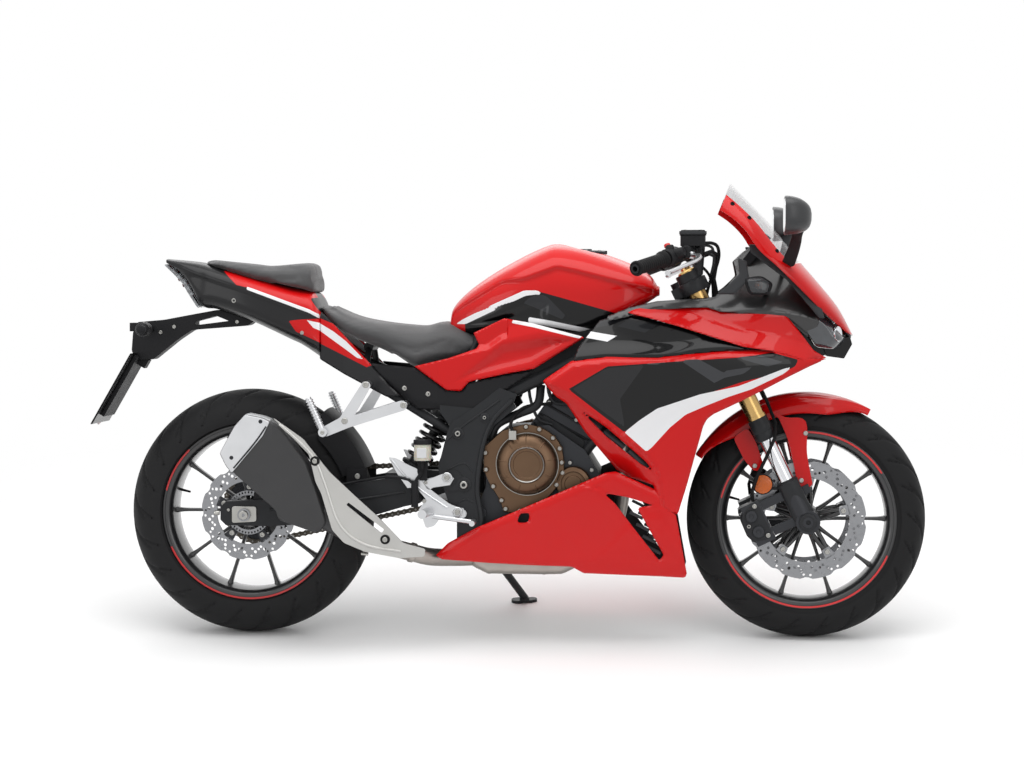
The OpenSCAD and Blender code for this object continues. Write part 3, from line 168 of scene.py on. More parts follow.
class Shape:
    """Vertices in upright millimetres, faces, and a material number for each face."""

    def __init__(self):
        self.verts, self.faces, self.slots, self.count = [], [], [], 0

    def add(self, points, faces, slot=0):
        points = np.asarray(points, float).reshape(-1, 3)
        self.verts.append(points)
        self.faces += [[i + self.count for i in f] for f in faces]
        self.slots += [slot] * len(faces)
        self.count += len(points)
        return self

    def grid(self, rows, slot=0, loop=False, ring=False, caps=False):
        """A net of points; loop joins the last row to the first, and ring the last column to the first."""
        rows = np.asarray(rows, float)
        n, m = rows.shape[:2]
        faces = []
        for i in range(n if loop else n - 1):
            a, b = i * m, (i + 1) % n * m
            for j in range(m if ring else m - 1):
                faces.append([a + j, a + (j + 1) % m, b + (j + 1) % m, b + j])
        if caps:
            faces += [list(range(m))[::-1], [(n - 1) * m + j for j in range(m)]]
        return self.add(rows.reshape(-1, 3), faces, slot)

    def turned(self, profile, base, direction=(0, 1, 0), slot=0, steps=32, closed=False):
        """A profile of (radius, height) points turned about a line through base."""
        d = unit(direction)
        u = unit(np.cross(d, [0.3, 0.1, 1]) if abs(d[0]) > 0.5 else np.cross([1, 0, 0], d))
        v = np.cross(d, u)
        rows = [[np.asarray(base, float) + d * h + r * (u * math.cos(a) + v * math.sin(a))
                 for r, h in profile] for a in np.linspace(0, math.tau, steps, endpoint=False)]
        return self.grid(rows, slot, loop=True, ring=closed)

    def rod(self, a, b, r, r2=None, slot=0, steps=24, edge=1.0):
        """A round bar from a to b with eased ends."""
        h = float(np.linalg.norm(np.subtract(b, a)))
        r2 = r if r2 is None else r2
        return self.turned([(0, 0), (r - edge, 0), (r, edge), (r2, h - edge), (r2 - edge, h), (0, h)],
                           a, np.subtract(b, a), slot, steps)

    def tube(self, path, r, slot=0, sides=12, n=6):
        """A round hose or pipe along a smooth line, with its radius at each of its points or one radius."""
        line = curve(path, n) if n > 1 else np.asarray(path, float)
        radii = np.interp(np.linspace(0, 1, len(line)), np.linspace(0, 1, np.size(r)), np.atleast_1d(r))
        along = np.gradient(line, axis=0)
        u = unit(np.cross(along[0], [0.31, 0.17, 1]))
        rows = []
        for p, d, radius in zip(line, along, radii):
            d = unit(d)
            u = unit(u - d * np.dot(u, d))
            v = np.cross(d, u)
            rows.append([p + radius * (u * math.cos(a) + v * math.sin(a))
                         for a in np.linspace(0, math.tau, sides, endpoint=False)])
        return self.grid(rows, slot, ring=True, caps=True)

    def block(self, low, high, slot=0):
        x, y, z = zip(low, high)
        points = [(x[i], y[j], z[k]) for i in (0, 1) for j in (0, 1) for k in (0, 1)]
        faces = [(0, 1, 3, 2), (4, 6, 7, 5), (0, 4, 5, 1), (2, 3, 7, 6), (0, 2, 6, 4), (1, 5, 7, 3)]
        return self.add(points, faces, slot)

    def plate(self, outline, y0, y1, slot=0, holes=()):
        """A flat plate with an outline and holes in X and Z, from y0 to y1."""
        loops = [list(outline), *[list(h) for h in holes]]
        flat = [p for loop in loops for p in loop]
        n = len(flat)
        triangles = tessellate_polygon([[Vector((p[0], p[1], 0)) for p in loop] for loop in loops])
        faces = [tuple(t) for t in triangles] + [tuple(i + n for i in t[::-1]) for t in triangles]
        start = 0
        for loop in loops:
            m = len(loop)
            faces += [(start + i, start + (i + 1) % m, start + (i + 1) % m + n,
                       start + i + n) for i in range(m)]
            start += m
        return self.add([(p[0], y, p[1]) for y in (y0, y1) for p in flat], faces, slot)

    def bolt(self, at, direction=(0, -1, 0), r=6, h=4, slot=0, socket=True):
        """A cap screw with its head's base at a point."""
        inner = [(r * 0.52, h), (r * 0.46, h * 0.35), (0, h * 0.35)] if socket else [(0, h * 1.15)]
        return self.turned([(r, -1), (r, h * 0.7), (r * 0.84, h), *inner], at, direction, slot, 18)

    def mirror(self):
        """The same again on the other side of the bike."""
        points = np.concatenate(self.verts) * [1, -1, 1]
        self.verts.append(points)
        self.faces += [[i + self.count for i in f[::-1]] for f in self.faces]
        self.slots += self.slots
        self.count *= 2
        return self

    def sheet(self, field, box, skin, cell=6, wall=3.5, roll=4, slot=0, back=None):
        """A panel over the side view where field is positive, at half width skin, cut from a net of cells."""
        xs = np.arange(box[0] - cell, box[1] + 2 * cell, cell)
        zs = np.arange(box[2] - cell, box[3] + 2 * cell, cell)
        x, z = np.meshgrid(xs, zs, indexing="ij")
        f = field(x, z)
        flat, faces, known = [], [], {}

        def corner(i, j):
            if (i, j) not in known:
                known[i, j] = len(flat)
                flat.append((xs[i], zs[j]))
            return known[i, j]

        def crossing(a, b):
            key = (min(a, b), max(a, b))
            if key not in known:
                t = f[a] / (f[a] - f[b])
                known[key] = len(flat)
                flat.append((xs[a[0]] + t * (xs[b[0]] - xs[a[0]]), zs[a[1]] + t * (zs[b[1]] - zs[a[1]])))
            return known[key]

        for i in range(len(xs) - 1):
            for j in range(len(zs) - 1):
                around = [(i, j), (i + 1, j), (i + 1, j + 1), (i, j + 1)]
                loop = []
                for a, b in zip(around, around[1:] + around[:1]):
                    if f[a] > 0:
                        loop.append(corner(*a))
                    if (f[a] > 0) != (f[b] > 0):
                        loop.append(crossing(a, b))
                if len(loop) > 2:
                    faces.append(loop)
        flat = np.array(flat)
        edge = np.clip(field(flat[:, 0], flat[:, 1]), 0, roll)
        drop = roll - np.sqrt(np.maximum(roll ** 2 - (roll - edge) ** 2, 0))
        outer = skin(flat[:, 0], flat[:, 1]) - drop
        n = len(flat)
        points = np.vstack([np.c_[flat[:, 0], -outer, flat[:, 1]],
                            np.c_[flat[:, 0], -outer + wall - drop * 0.5, flat[:, 1]]])
        used = {}
        for loop in faces:
            for a, b in zip(loop, loop[1:] + loop[:1]):
                used[a, b] = used.get((a, b), 0) + 1
        rim = [(a, b) for a, b in used if (b, a) not in used]
        self.add(points, faces, slot)
        base = self.count - 2 * n
        extra = [[i + n + base for i in loop[::-1]] for loop in faces]
        extra += [[b + base, a + base, a + n + base, b + n + base] for a, b in rim]
        self.faces += extra
        self.slots += [slot if back is None else back] * len(extra)
        return self

    def piece(self, name, body, materials, bevel=0.0, sharp=35, replaces=(), slot=None, marks=None):
        """Makes the Blender object, with float attributes on its points from marks."""
        mesh = bpy.data.meshes.new(name)
        mesh.from_pydata(to_row(np.concatenate(self.verts)).tolist(), [], self.faces)
        mesh.polygons.foreach_set("material_index", self.slots)
        for m in materials if isinstance(materials, (list, tuple)) else [materials]:
            mesh.materials.append(m)
        bm = bmesh.new()
        bm.from_mesh(mesh)
        bmesh.ops.remove_doubles(bm, verts=bm.verts, dist=2e-5)
        bmesh.ops.recalc_face_normals(bm, faces=bm.faces)
        bm.to_mesh(mesh)
        bm.free()
        mesh.polygons.foreach_set("use_smooth", [True] * len(mesh.polygons))
        mesh.set_sharp_from_angle(angle=math.radians(sharp))
        obj = bpy.data.objects.new(name, mesh)
        bpy.context.scene.collection.objects.link(obj)
        if marks:
            co = np.zeros(len(mesh.vertices) * 3)
            mesh.vertices.foreach_get("co", co)
            p = to_bike(co.reshape(-1, 3))
            for mark, value in marks.items():
                a = mesh.attributes.new(mark, "FLOAT", "POINT")
                a.data.foreach_set("value", np.asarray(value(p), float))
        if bevel:
            m = obj.modifiers.new("edges", "BEVEL")
            m.width, m.segments, m.limit_method = bevel * MM, 2, "ANGLE"
            m.angle_limit = math.radians(35)
        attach(obj, body)
        if replaces:
            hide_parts(*replaces)
        return obj


# ---------- materials ----------

def srgb(code):
    c = [int(code[i:i + 2], 16) / 255 for i in (1, 3, 5)]
    return (*(x / 12.92 if x <= 0.04045 else ((x + 0.055) / 1.055) ** 2.4 for x in c), 1.0)


def new_node(nodes, kind, **inputs):
    """A shader node with some inputs set, named as Blender names them with _ for a space."""
    made = nodes.new("ShaderNode" + kind)
    for key, value in inputs.items():
        made.inputs[key.replace("_", " ")].default_value = value
    return made


def material(name, color, rough=0.4, metal=0.0, tone=0.10, tone_size=0.05, bump=0.0, grain=0.001,
             cells=False, stretch=(1, 1, 1), layers=(), **sockets):
    """A surface with tone and roughness that vary, fine relief, and painted layers over its base colour.

    A layer is (attribute, colour): it covers where the attribute is positive.
    """
    m = bpy.data.materials.new(name)
    m.use_nodes = True
    nodes, link = m.node_tree.nodes, m.node_tree.links.new
    shader = nodes["Principled BSDF"]
    coords = nodes.new("ShaderNodeTexCoord")
    mapping = new_node(nodes, "Mapping", Scale=stretch)
    link(coords.outputs["Object"], mapping.inputs["Vector"])
    cloud = new_node(nodes, "TexNoise", Scale=1 / tone_size, Detail=5)
    link(mapping.outputs["Vector"], cloud.inputs["Vector"])
    mix = nodes.new("ShaderNodeMix")
    mix.data_type = "RGBA"
    base = srgb(color)
    mix.inputs["A"].default_value = (*(c * (1 - tone) for c in base[:3]), 1)
    mix.inputs["B"].default_value = (*(min(1, c * (1 + tone)) for c in base[:3]), 1)
    link(cloud.outputs["Fac"], mix.inputs["Factor"])
    colour = mix.outputs["Result"]
    for mark, code in layers:
        where = nodes.new("ShaderNodeAttribute")
        where.attribute_name = mark
        step = new_node(nodes, "MapRange", From_Min=-0.25, From_Max=0.25)
        link(where.outputs["Fac"], step.inputs["Value"])
        over = nodes.new("ShaderNodeMix")
        over.data_type = "RGBA"
        over.inputs["B"].default_value = srgb(code)
        link(step.outputs["Result"], over.inputs["Factor"])
        link(colour, over.inputs["A"])
        colour = over.outputs["Result"]
    link(colour, shader.inputs["Base Color"])
    spread = new_node(nodes, "MapRange", To_Min=rough * 0.8, To_Max=min(1.0, rough * 1.25))
    link(cloud.outputs["Fac"], spread.inputs["Value"])
    link(spread.outputs["Result"], shader.inputs["Roughness"])
    shader.inputs["Metallic"].default_value = metal
    if bump:
        if cells:
            fine = new_node(nodes, "TexVoronoi", Scale=1 / grain)
            height = fine.outputs["Distance"]
        else:
            fine = new_node(nodes, "TexNoise", Scale=1 / grain, Detail=3)
            height = fine.outputs["Fac"]
        link(mapping.outputs["Vector"], fine.inputs["Vector"])
        relief = new_node(nodes, "Bump", Strength=bump, Distance=grain * 0.3)
        link(height, relief.inputs["Height"])
        link(relief.outputs["Normal"], shader.inputs["Normal"])
    for key, value in sockets.items():
        shader.inputs[key.replace("_", " ").title().replace("Ior", "IOR")].default_value = value
    return m


GLOSS = dict(rough=0.3, coat_weight=0.4, coat_roughness=0.03, tone=0.04, tone_size=0.2, bump=0.02,
             grain=0.006, specular_ior_level=0.12)
DULL = dict(specular_ior_level=0.18)
RED, INK, WHITE = "#cc090b", "#0b0b0c", "#f0f0f2"
red = material("red_gloss", RED, **GLOSS)
ink = material("black_gloss", INK, **GLOSS)
plastic = material("black_plastic", "#1b1b1d", 0.5, bump=0.25, grain=0.0008, tone=0.12, **DULL)
plastic_soft = material("grey_plastic", "#38393b", 0.55, bump=0.25, grain=0.0008, tone=0.10, **DULL)
satin = material("satin_black", "#2a2b2d", 0.38, bump=0.10, grain=0.0012, tone=0.12, **DULL)
rubber = material("rubber", "#151516", 0.7, bump=0.3, grain=0.0012, tone=0.18, **DULL)
tyre_rubber = material("tyre_rubber", "#1b1b1c", 0.62, bump=0.25, grain=0.0016, tone=0.2, tone_size=0.03,
                       **DULL)
vinyl = material("seat_vinyl", "#434344", 0.62, bump=0.45, grain=0.0016, cells=True, tone=0.08,
                 sheen_weight=0.2, sheen_roughness=0.5)
alloy = material("cast_alloy", "#cfd0d2", 0.32, 1.0, bump=0.18, grain=0.0012, tone=0.08)
alloy_dark = material("dark_alloy", "#37383b", 0.42, 0.8, bump=0.25, grain=0.0012, tone=0.1)
bronze = material("bronze_cover", "#66503e", 0.36, 0.9, bump=0.12, grain=0.0015, tone=0.10)
steel = material("disc_steel", "#8f9093", 0.28, 1.0, bump=0.15, grain=0.0012, tone=0.08, tone_size=0.01)
zinc = material("zinc_bolts", "#a9a8a4", 0.3, 1.0, bump=0.08, grain=0.001, tone=0.1)
chrome = material("hard_chrome", "#d9dadd", 0.08, 1.0, bump=0.02, grain=0.002, tone=0.04)
gold = material("gold_anodised", "#c2a067", 0.26, 1.0, bump=0.06, grain=0.001, tone=0.08)
pipe_steel = material("exhaust_steel", "#a7a19b", 0.36, 1.0, bump=0.12, grain=0.0015, tone=0.14,
                      tone_size=0.03)
muffler_black = material("muffler_black", "#343435", 0.42, 0.2, bump=0.12, grain=0.001, tone=0.08)
guard_silver = material("guard_silver", "#bbbab7", 0.34, 0.9, bump=0.10, grain=0.001, tone=0.06)
chain_metal = material("chain_metal", "#5b564f", 0.4, 1.0, bump=0.2, grain=0.0015, tone=0.2)
amber = material("amber_lens", "#d9650a", 0.15, transmission_weight=0.25, bump=0.5, grain=0.003, cells=True)
red_lens = material("red_lens", "#8c0a0c", 0.12, transmission_weight=0.4, bump=0.3, grain=0.004, cells=True)
clear_lens = material("clear_lens", "#c4c8cc", 0.08, transmission_weight=0.5, bump=0.05, grain=0.006,
                      ior=1.45)
smoke_lens = material("smoke_lens", "#55585c", 0.05, transmission_weight=0.6, bump=0.1, grain=0.006, ior=1.45)
screen_clear = material("screen_clear", "#8f9296", 0.06, tone=0.02, alpha=0.16)
mirror_glass = material("mirror_glass", "#dcdfe2", 0.03, 1.0, tone=0.02)
glass_face = material("dial_glass", "#101316", 0.08, tone=0.1, coat_weight=1.0)
cream = material("fluid_pot", "#cfcabb", 0.35, tone=0.06, bump=0.05, subsurface_weight=0.2)
switch_red = material("switch_red", "#c41a12", 0.4, tone=0.06, bump=0.1, grain=0.001)
radiator_fins = material("radiator_fins", "#3a3c40", 0.45, 0.7, bump=0.9, grain=0.0022, stretch=(1, 0.1, 1))

# ---------- camera, floor and light ----------

VIEW_DISTANCE, VIEW_HEIGHT, VIEW_X = 6000, 850, -39.8
VIEW_YAW, VIEW_TILT = math.radians(3.86), math.radians(2.02)
LENS = 82.8


def add_camera():
    eye = to_row([VIEW_X + VIEW_DISTANCE * math.sin(VIEW_YAW), -VIEW_DISTANCE * math.cos(VIEW_YAW),
                  VIEW_HEIGHT])
    look = unit([-math.sin(VIEW_YAW) * math.cos(VIEW_TILT), math.cos(VIEW_YAW) * math.cos(VIEW_TILT),
                 -math.sin(VIEW_TILT)]) @ AXES
    right = unit(np.cross(look, np.array(up)))
    over = np.cross(right, look)
    camera = bpy.data.objects.new("camera", bpy.data.cameras.new("camera"))
    camera.matrix_world = Matrix([[right[i], over[i], -look[i], eye[i]] for i in range(3)] + [[0, 0, 0, 1]])
    camera.data.lens, camera.data.clip_end = LENS, 100
    bpy.context.scene.collection.objects.link(camera)
    bpy.context.scene.camera = camera


def add_lamp(name, at, aim, size, watts):
    lamp = bpy.data.lights.new(name, "AREA")
    lamp.shape, lamp.size, lamp.size_y, lamp.energy = "RECTANGLE", size[0], size[1], watts
    obj = bpy.data.objects.new(name, lamp)
    obj.location = at
    obj.rotation_euler = (Vector(aim) - Vector(at)).to_track_quat("-Z", "Y").to_euler()
    bpy.context.scene.collection.objects.link(obj)


def white_world():
    """White for the camera, reflections and glass, and for diffuse light a grey that pales upwards."""
    world = bpy.data.worlds.new("studio")
    world.use_nodes = True
    bpy.context.scene.world = world
    nodes, link = world.node_tree.nodes, world.node_tree.links.new
    sky = nodes["Background"]
    way = nodes.new("ShaderNodeTexCoord")
    split = nodes.new("ShaderNodeSeparateXYZ")
    link(way.outputs["Generated"], split.inputs["Vector"])
    rise = new_node(nodes, "MapRange", From_Min=-0.2, From_Max=0.9, To_Min=0.20, To_Max=0.88)
    link(split.outputs["Z"], rise.inputs["Value"])
    sky.inputs["Color"].default_value = (1, 1, 1, 1)
    link(rise.outputs["Result"], sky.inputs["Strength"])
    white = new_node(nodes, "Background", Strength=1.0, Color=(1, 1, 1, 1))
    path = nodes.new("ShaderNodeLightPath")
    seen = nodes.new("ShaderNodeMath")
    seen.operation = "MAXIMUM"
    link(path.outputs["Is Camera Ray"], seen.inputs[0])
    link(path.outputs["Is Transmission Ray"], seen.inputs[1])
    shiny = nodes.new("ShaderNodeMath")
    shiny.operation = "MAXIMUM"
    link(seen.outputs["Value"], shiny.inputs[0])
    link(path.outputs["Is Glossy Ray"], shiny.inputs[1])
    mix = nodes.new("ShaderNodeMixShader")
    link(shiny.outputs["Value"], mix.inputs["Fac"])
    link(sky.outputs["Background"], mix.inputs[1])
    link(white.outputs["Background"], mix.inputs[2])
    link(mix.outputs["Shader"], nodes["World Output"].inputs["Surface"])


def add_floor(radius=9.0):
    """A pale round floor that fades into the white beyond it."""
    bm = bmesh.new()
    bmesh.ops.create_circle(bm, cap_ends=True, radius=radius, segments=128)
    mesh = bpy.data.meshes.new("floor")
    bm.to_mesh(mesh)
    bm.free()
    floor = bpy.data.objects.new("floor", mesh)
    bpy.context.scene.collection.objects.link(floor)
    m = bpy.data.materials.new("floor_white")
    m.use_nodes = True
    nodes, link = m.node_tree.nodes, m.node_tree.links.new
    paint = nodes["Principled BSDF"]
    paint.inputs["Roughness"].default_value = 0.6
    paint.inputs["Specular IOR Level"].default_value = 0.2
    coords = nodes.new("ShaderNodeTexCoord")
    noise = new_node(nodes, "TexNoise", Scale=0.6)
    link(coords.outputs["Object"], noise.inputs["Vector"])
    tone = nodes.new("ShaderNodeMix")
    tone.data_type = "RGBA"
    tone.inputs["A"].default_value = (0.93, 0.93, 0.93, 1)
    tone.inputs["B"].default_value = (0.95, 0.95, 0.95, 1)
    link(noise.outputs["Fac"], tone.inputs["Factor"])
    link(tone.outputs["Result"], paint.inputs["Base Color"])
    length = nodes.new("ShaderNodeVectorMath")
    length.operation = "LENGTH"
    link(coords.outputs["Object"], length.inputs[0])
    fade = new_node(nodes, "MapRange", From_Min=1.1, From_Max=2.6)
    fade.interpolation_type = "SMOOTHSTEP"
    link(length.outputs["Value"], fade.inputs["Value"])
    clear = nodes.new("ShaderNodeBsdfTransparent")
    mix = nodes.new("ShaderNodeMixShader")
    link(fade.outputs["Result"], mix.inputs["Fac"])
    link(paint.outputs["BSDF"], mix.inputs[1])
    link(clear.outputs["BSDF"], mix.inputs[2])
    link(mix.outputs["Shader"], nodes["Material Output"].inputs["Surface"])
    mesh.materials.append(m)


bpy.context.scene.view_settings.view_transform = "Standard"
add_camera()
white_world()
add_floor()
add_lamp("top_softbox", (0, -0.6, 3.6), (0, -0.1, 0.6), (4.5, 2.4), 80)
add_lamp("front_softbox", (2.6, -3.4, 2.2), (0.2, 0, 0.6), (1.6, 2.4), 20)
add_lamp("rear_softbox", (-3.0, -3.0, 1.8), (-0.2, 0, 0.6), (1.4, 2.2), 18)
add_lamp("back_softbox", (0, 3.2, 2.4), (0, 0, 0.6), (3.5, 1.8), 26)

# ---------- bodywork skins ----------


def plan_w(x):
    nose = np.sqrt(np.maximum(0.02, 1 - (np.maximum(x - 340, 0) / 505) ** 2.3))
    return np.where(x < 340, 1 - 0.00003 * (np.maximum(0, 60 - x) / 10) ** 2, nose)


def tall_w(z):
    return np.where(z > 700, 1 - 0.34 * (np.maximum(z - 700, 0) / 160) ** 1.5,
                    1 - 0.38 * (np.maximum(700 - z, 0) / 540) ** 1.6)


FAIRING_HW, FRAME_HW = 232, 146


def fairing_w(x, z):
    return FAIRING_HW * plan_w(x) * tall_w(z)


def cover_w(x, z):
    return FRAME_HW + 5 - 30 * np.clip((-x - 215) / 240, 0, 1)


def trim_w(x, z):
    return 178 - 0.14 * (x - 474) - 0.12 * (z - 850)


def ease(d, reach):
    """0 at d = 0 rising smoothly to 1 at reach."""
    t = np.clip(d / reach, 0, 1)
    return t * t * (3 - 2 * t)


def mark(*outlines):
    """How far inside any of the outlines a point's side view lies."""
    return lambda p: np.max([inside(o, p[:, 0], p[:, 2]) for o in outlines], axis=0)


# ---------- side fairings and belly ----------

CREASE = [(54, 655), (113, 627), (206, 552), (305, 480), (327, 447), (341, 395), (348, 331)]
MAIN_TOP = [(50, 654), (121, 703), (206, 714), (331, 712), (400, 720), (500, 730), (612, 730)]
FRONT_EDGE = [(612, 728), (690, 708), (749, 708), (704, 689), (654, 665), (590, 632), (538, 606), (500, 588),
              (468, 573), (452, 560), (443, 542), (436, 515), (421, 460), (405, 400), (382, 323)]
REAR_EDGE = [(338, 332), (322, 396), (264, 413), (230, 432), (212, 454), (153, 527), (108, 598), (84, 614),
             (60, 641)]
SLOT = [(141, 584), (206, 540), (306, 452), (322, 430), (290, 449), (206, 517)]


def main_skin(x, z):
    w = fairing_w(x, z)
    flange = np.maximum(0, -beyond(CREASE, x, z))
    lip = np.maximum(0, 15 + beyond(MAIN_TOP, x, z))
    belt = 5 * ease(-beyond([(60, 640), (300, 612), (470, 640), (700, 695)], x, z), 90)
    return w - 0.62 * flange - 0.85 * np.where(x < 620, lip, 0) - belt * (flange <= 0)


BAND_LOW = [(256, 821), (314, 807), (378, 789), (452, 766), (540, 738), (612, 727), (650, 717), (693, 702)]
BAND = [(298, 841), (375, 845), (452, 845), (489, 838), (545, 831), (647, 816), (684, 770), (716, 728),
        (749, 709), *BAND_LOW[::-1]]


def band_skin(x, z):
    rise = np.maximum(0, beyond(BAND_LOW, x, z))
    back = 0.10 * np.maximum(0, rise - 42)
    return fairing_w(x, z) + 2 - 0.48 * np.minimum(rise, 42) + back


RECESS = [(124, 700), (136, 734), (188, 802), (247, 821), (314, 808), (378, 790), (460, 764), (546, 737),
          (560, 730), (500, 728), (400, 717), (331, 710), (206, 711)]


def recess_skin(x, z):
    fall = np.maximum(0, beyond(MAIN_TOP, x, z))
    return fairing_w(x, z) - 13 - 12 * ease(fall, 40) + 8 * ease(60 + beyond(BAND_LOW, x, z), 60)


BELLY = [(-222, 214), (-190, 246), (-116, 287), (0, 337), (205, 427), (230, 430), (318, 389), (338, 380),
         (350, 345), (362, 332), (378, 322), (405, 172), (401, 161), (340, 164), (148, 171), (120, 188),
         (0, 192), (-80, 196), (-205, 205)]
BELLY_TOP = [(-222, 214), (-116, 287), (0, 337), (205, 427), (230, 430), (338, 380)]
VENT = [(199, 377), (258, 366), (321, 347), (282, 340), (347, 222), (338, 205), (262, 304), (228, 350)]
PORT = rounded([(-16, 300), (-8, 324), (17, 325), (12, 301)], 6)


def belly_skin(x, z):
    w = fairing_w(x, z)
    top = np.maximum(0, 16 + beyond(BELLY_TOP, x, z))
    shelf = 9 * ease(-beyond([(195, 384), (330, 352), (360, 340)], x, z), 8)
    keel = np.maximum(0, 200 - z) * 0.35
    scoop = 7 * ease(inside([(150, 196), (352, 214), (400, 200), (399, 240), (352, 330), (280, 338)], x, z),
                     26)
    return w - 0.45 * top - keel + shelf * 0.4 - 4 + scoop * 0.5


def cut(outline, *holes):
    def field(x, z):
        f = inside(outline, x, z)
        for hole in holes:
            f = np.minimum(f, -inside(hole, x, z))
        return f
    return field


def extent(outline):
    xs, zs = zip(*outline)
    return min(xs), max(xs), min(zs), max(zs)


# Graphics of the main panel, as outlines in the side view
PANEL_INK = [(114, 634), (209, 690), (400, 704), (545, 713), (611, 724), (676, 706), (668, 690), (640, 676),
             (540, 653), (435, 618), (331, 584), (288, 558), (251, 528)]
PANEL_WHITE = [(251, 528), (288, 558), (331, 587), (435, 622), (529, 642), (640, 684), (662, 690), (640, 672),
               (560, 634), (505, 616), (450, 594), (400, 572), (362, 540), (318, 491), (305, 480)]
PANEL_GREY = [[(386, 706), (470, 650), (505, 668), (432, 708)],
              [(520, 712), (600, 690), (640, 700), (580, 718)],
              [(480, 660), (540, 672), (566, 690), (498, 680)]]
PANEL_SLATE = [(124, 634), (209, 686), (300, 694), (240, 610), (252, 540)]


def add_fairings():
    """The side fairings in three bands, the belly pan and the louvres behind its openings."""
    red_main = material("red_fairing", RED, layers=[
        ("ink", INK), ("slate", "#232325"), ("grey", "#3a3b3e"), ("white", WHITE)], **GLOSS)
    s = Shape()
    outline = [*MAIN_TOP, *FRONT_EDGE[1:], *REAR_EDGE]
    s.sheet(cut(outline, SLOT), extent(outline), main_skin, cell=6, back=1)
    graphics = {"ink": mark(PANEL_INK), "slate": mark(PANEL_SLATE), "grey": mark(*PANEL_GREY),
                "white": mark(PANEL_WHITE)}
    s.mirror().piece("fairing_main_panels", "chassis", [red_main, plastic], sharp=28,
                     replaces=["side_fairings"], slot="red_paint", marks=graphics)
    s = Shape()
    s.sheet(cut(BAND), extent(BAND), band_skin, cell=4, back=1)
    s.mirror().piece("fairing_upper_bands", "chassis", [red, plastic], sharp=28, slot="red_paint")
    black = material("black_recess", "#08080a", layers=[("grey", "#1d1e21"), ("white", WHITE)], **GLOSS)
    s = Shape()
    s.sheet(cut(RECESS), extent(RECESS), recess_skin, cell=4, back=1)
    s.mirror().piece("fairing_recesses", "chassis", [black, plastic], sharp=28, slot="black_plastic",
                     marks={"grey": mark([(150, 800), (215, 812), (262, 806), (210, 790), (170, 782)],
                                         [(232, 788), (300, 772), (330, 790), (262, 806)]),
                            "white": mark([(120, 782), (160, 776), (232, 764), (208, 750), (120, 766)])})
    belly_red = material("red_belly", RED, **GLOSS)
    s = Shape()
    s.sheet(cut(BELLY, VENT, PORT), extent(BELLY), belly_skin, cell=6, back=1)
    s.piece("belly_panel_right", "chassis", [belly_red, plastic], sharp=28, slot="red_paint",
            replaces=["belly_fairing"])
    left = cut([(-55, 182), (-55, 313), *BELLY[3:16], (-55, 194)], VENT, PORT)
    s = Shape()
    s.sheet(left, extent(BELLY), belly_skin, cell=6, back=1)
    s.verts = [v * [1, -1, 1] for v in s.verts]
    s.piece("belly_panel_left", "chassis", [belly_red, plastic], sharp=28, slot="red_paint")
    # dark louvre blades behind the slots and vents
    s = Shape()
    for a, b in [((150, 566), (190, 536)), ((200, 528), (250, 490)), ((262, 482), (310, 436))]:
        s.tube([(a[0], -fairing_w(*a) + 30, a[1]), (b[0], -fairing_w(*b) + 30, b[1])], 7, n=1)
    for x, z in [(290, 322), (306, 292), (322, 262), (334, 234)]:
        y = -belly_skin(x, z) + 14
        s.tube([(x - 26, y, z + 6), (x + 6, y, z - 10)], 4, n=1)
    s.mirror().piece("vent_louvres", "chassis", plastic_soft)


# ---------- side covers ----------

COVER = [(-275, 687), (-190, 707), (-120, 731), (-113, 741), (-127, 770), (-50, 807), (20, 795), (152, 760),
         (132, 748), (26, 682), (-50, 668), (-137, 649), (-157, 626), (-193, 628)]
COVER_FOLD = [(-275, 687), (-86, 729), (-50, 754), (40, 772), (152, 757)]
LOWER_COVER = [(-389, 694), (-276, 684), (-194, 626), (-158, 623), (-137, 646), (-50, 665), (30, 679),
               (-51, 624), (-123, 580), (-200, 578), (-267, 580), (-308, 611), (-340, 640)]
REAR_COVER = [(-514, 824), (-463, 774), (-389, 694), (-340, 640), (-310, 613), (-346, 610), (-454, 666),
              (-516, 704)]


def add_covers():
    """The red side covers with the black frame covers under them."""
    def red_skin(x, z):
        above = np.maximum(0, beyond(COVER_FOLD, x, z))
        belly = 12 * ease(inside([(-190, 640), (-60, 745), (60, 765), (140, 756), (20, 690), (-130, 655)], x,
                                 z), 30)
        rear = 0.9 * np.minimum(above, 16) * (x < -40)
        front = 0.35 * np.minimum(above, 30) * (x >= -40)
        return cover_w(x, z) + 3 - rear - front - belly

    cover_red = material("red_cover", RED, layers=[("white", WHITE)], **GLOSS)
    s = Shape()
    s.sheet(cut(COVER), extent(COVER), red_skin, cell=4, back=1)
    s.mirror().piece("side_cover_panels", "chassis", [cover_red, plastic], sharp=28, slot="red_paint",
                     replaces=["side_covers"], marks={
        "white": mark([(-30, 803), (20, 795), (148, 761), (136, 757), (22, 785), (-30, 795)])})
    s = Shape()

    def lower(x, z):
        fold = [(-389, 690), (-266, 604), (-123, 590), (20, 676)]
        return cover_w(x, z) - 3 - 5 * ease(-beyond(fold, x, z), 18)

    s.sheet(cut(LOWER_COVER), extent(LOWER_COVER), lower, cell=5, wall=4)
    s.mirror()
    for x, z in [(-240, 618), (-300, 632)]:
        for y in (-1, 1):
            s.bolt((x, y * (cover_w(x, z) - 4), z), (0, y, 0), 6, 3, slot=1)
    s.piece("frame_cover_panels", "chassis", [plastic, zinc], sharp=28, slot="black_plastic",
            replaces=["frame_covers"])


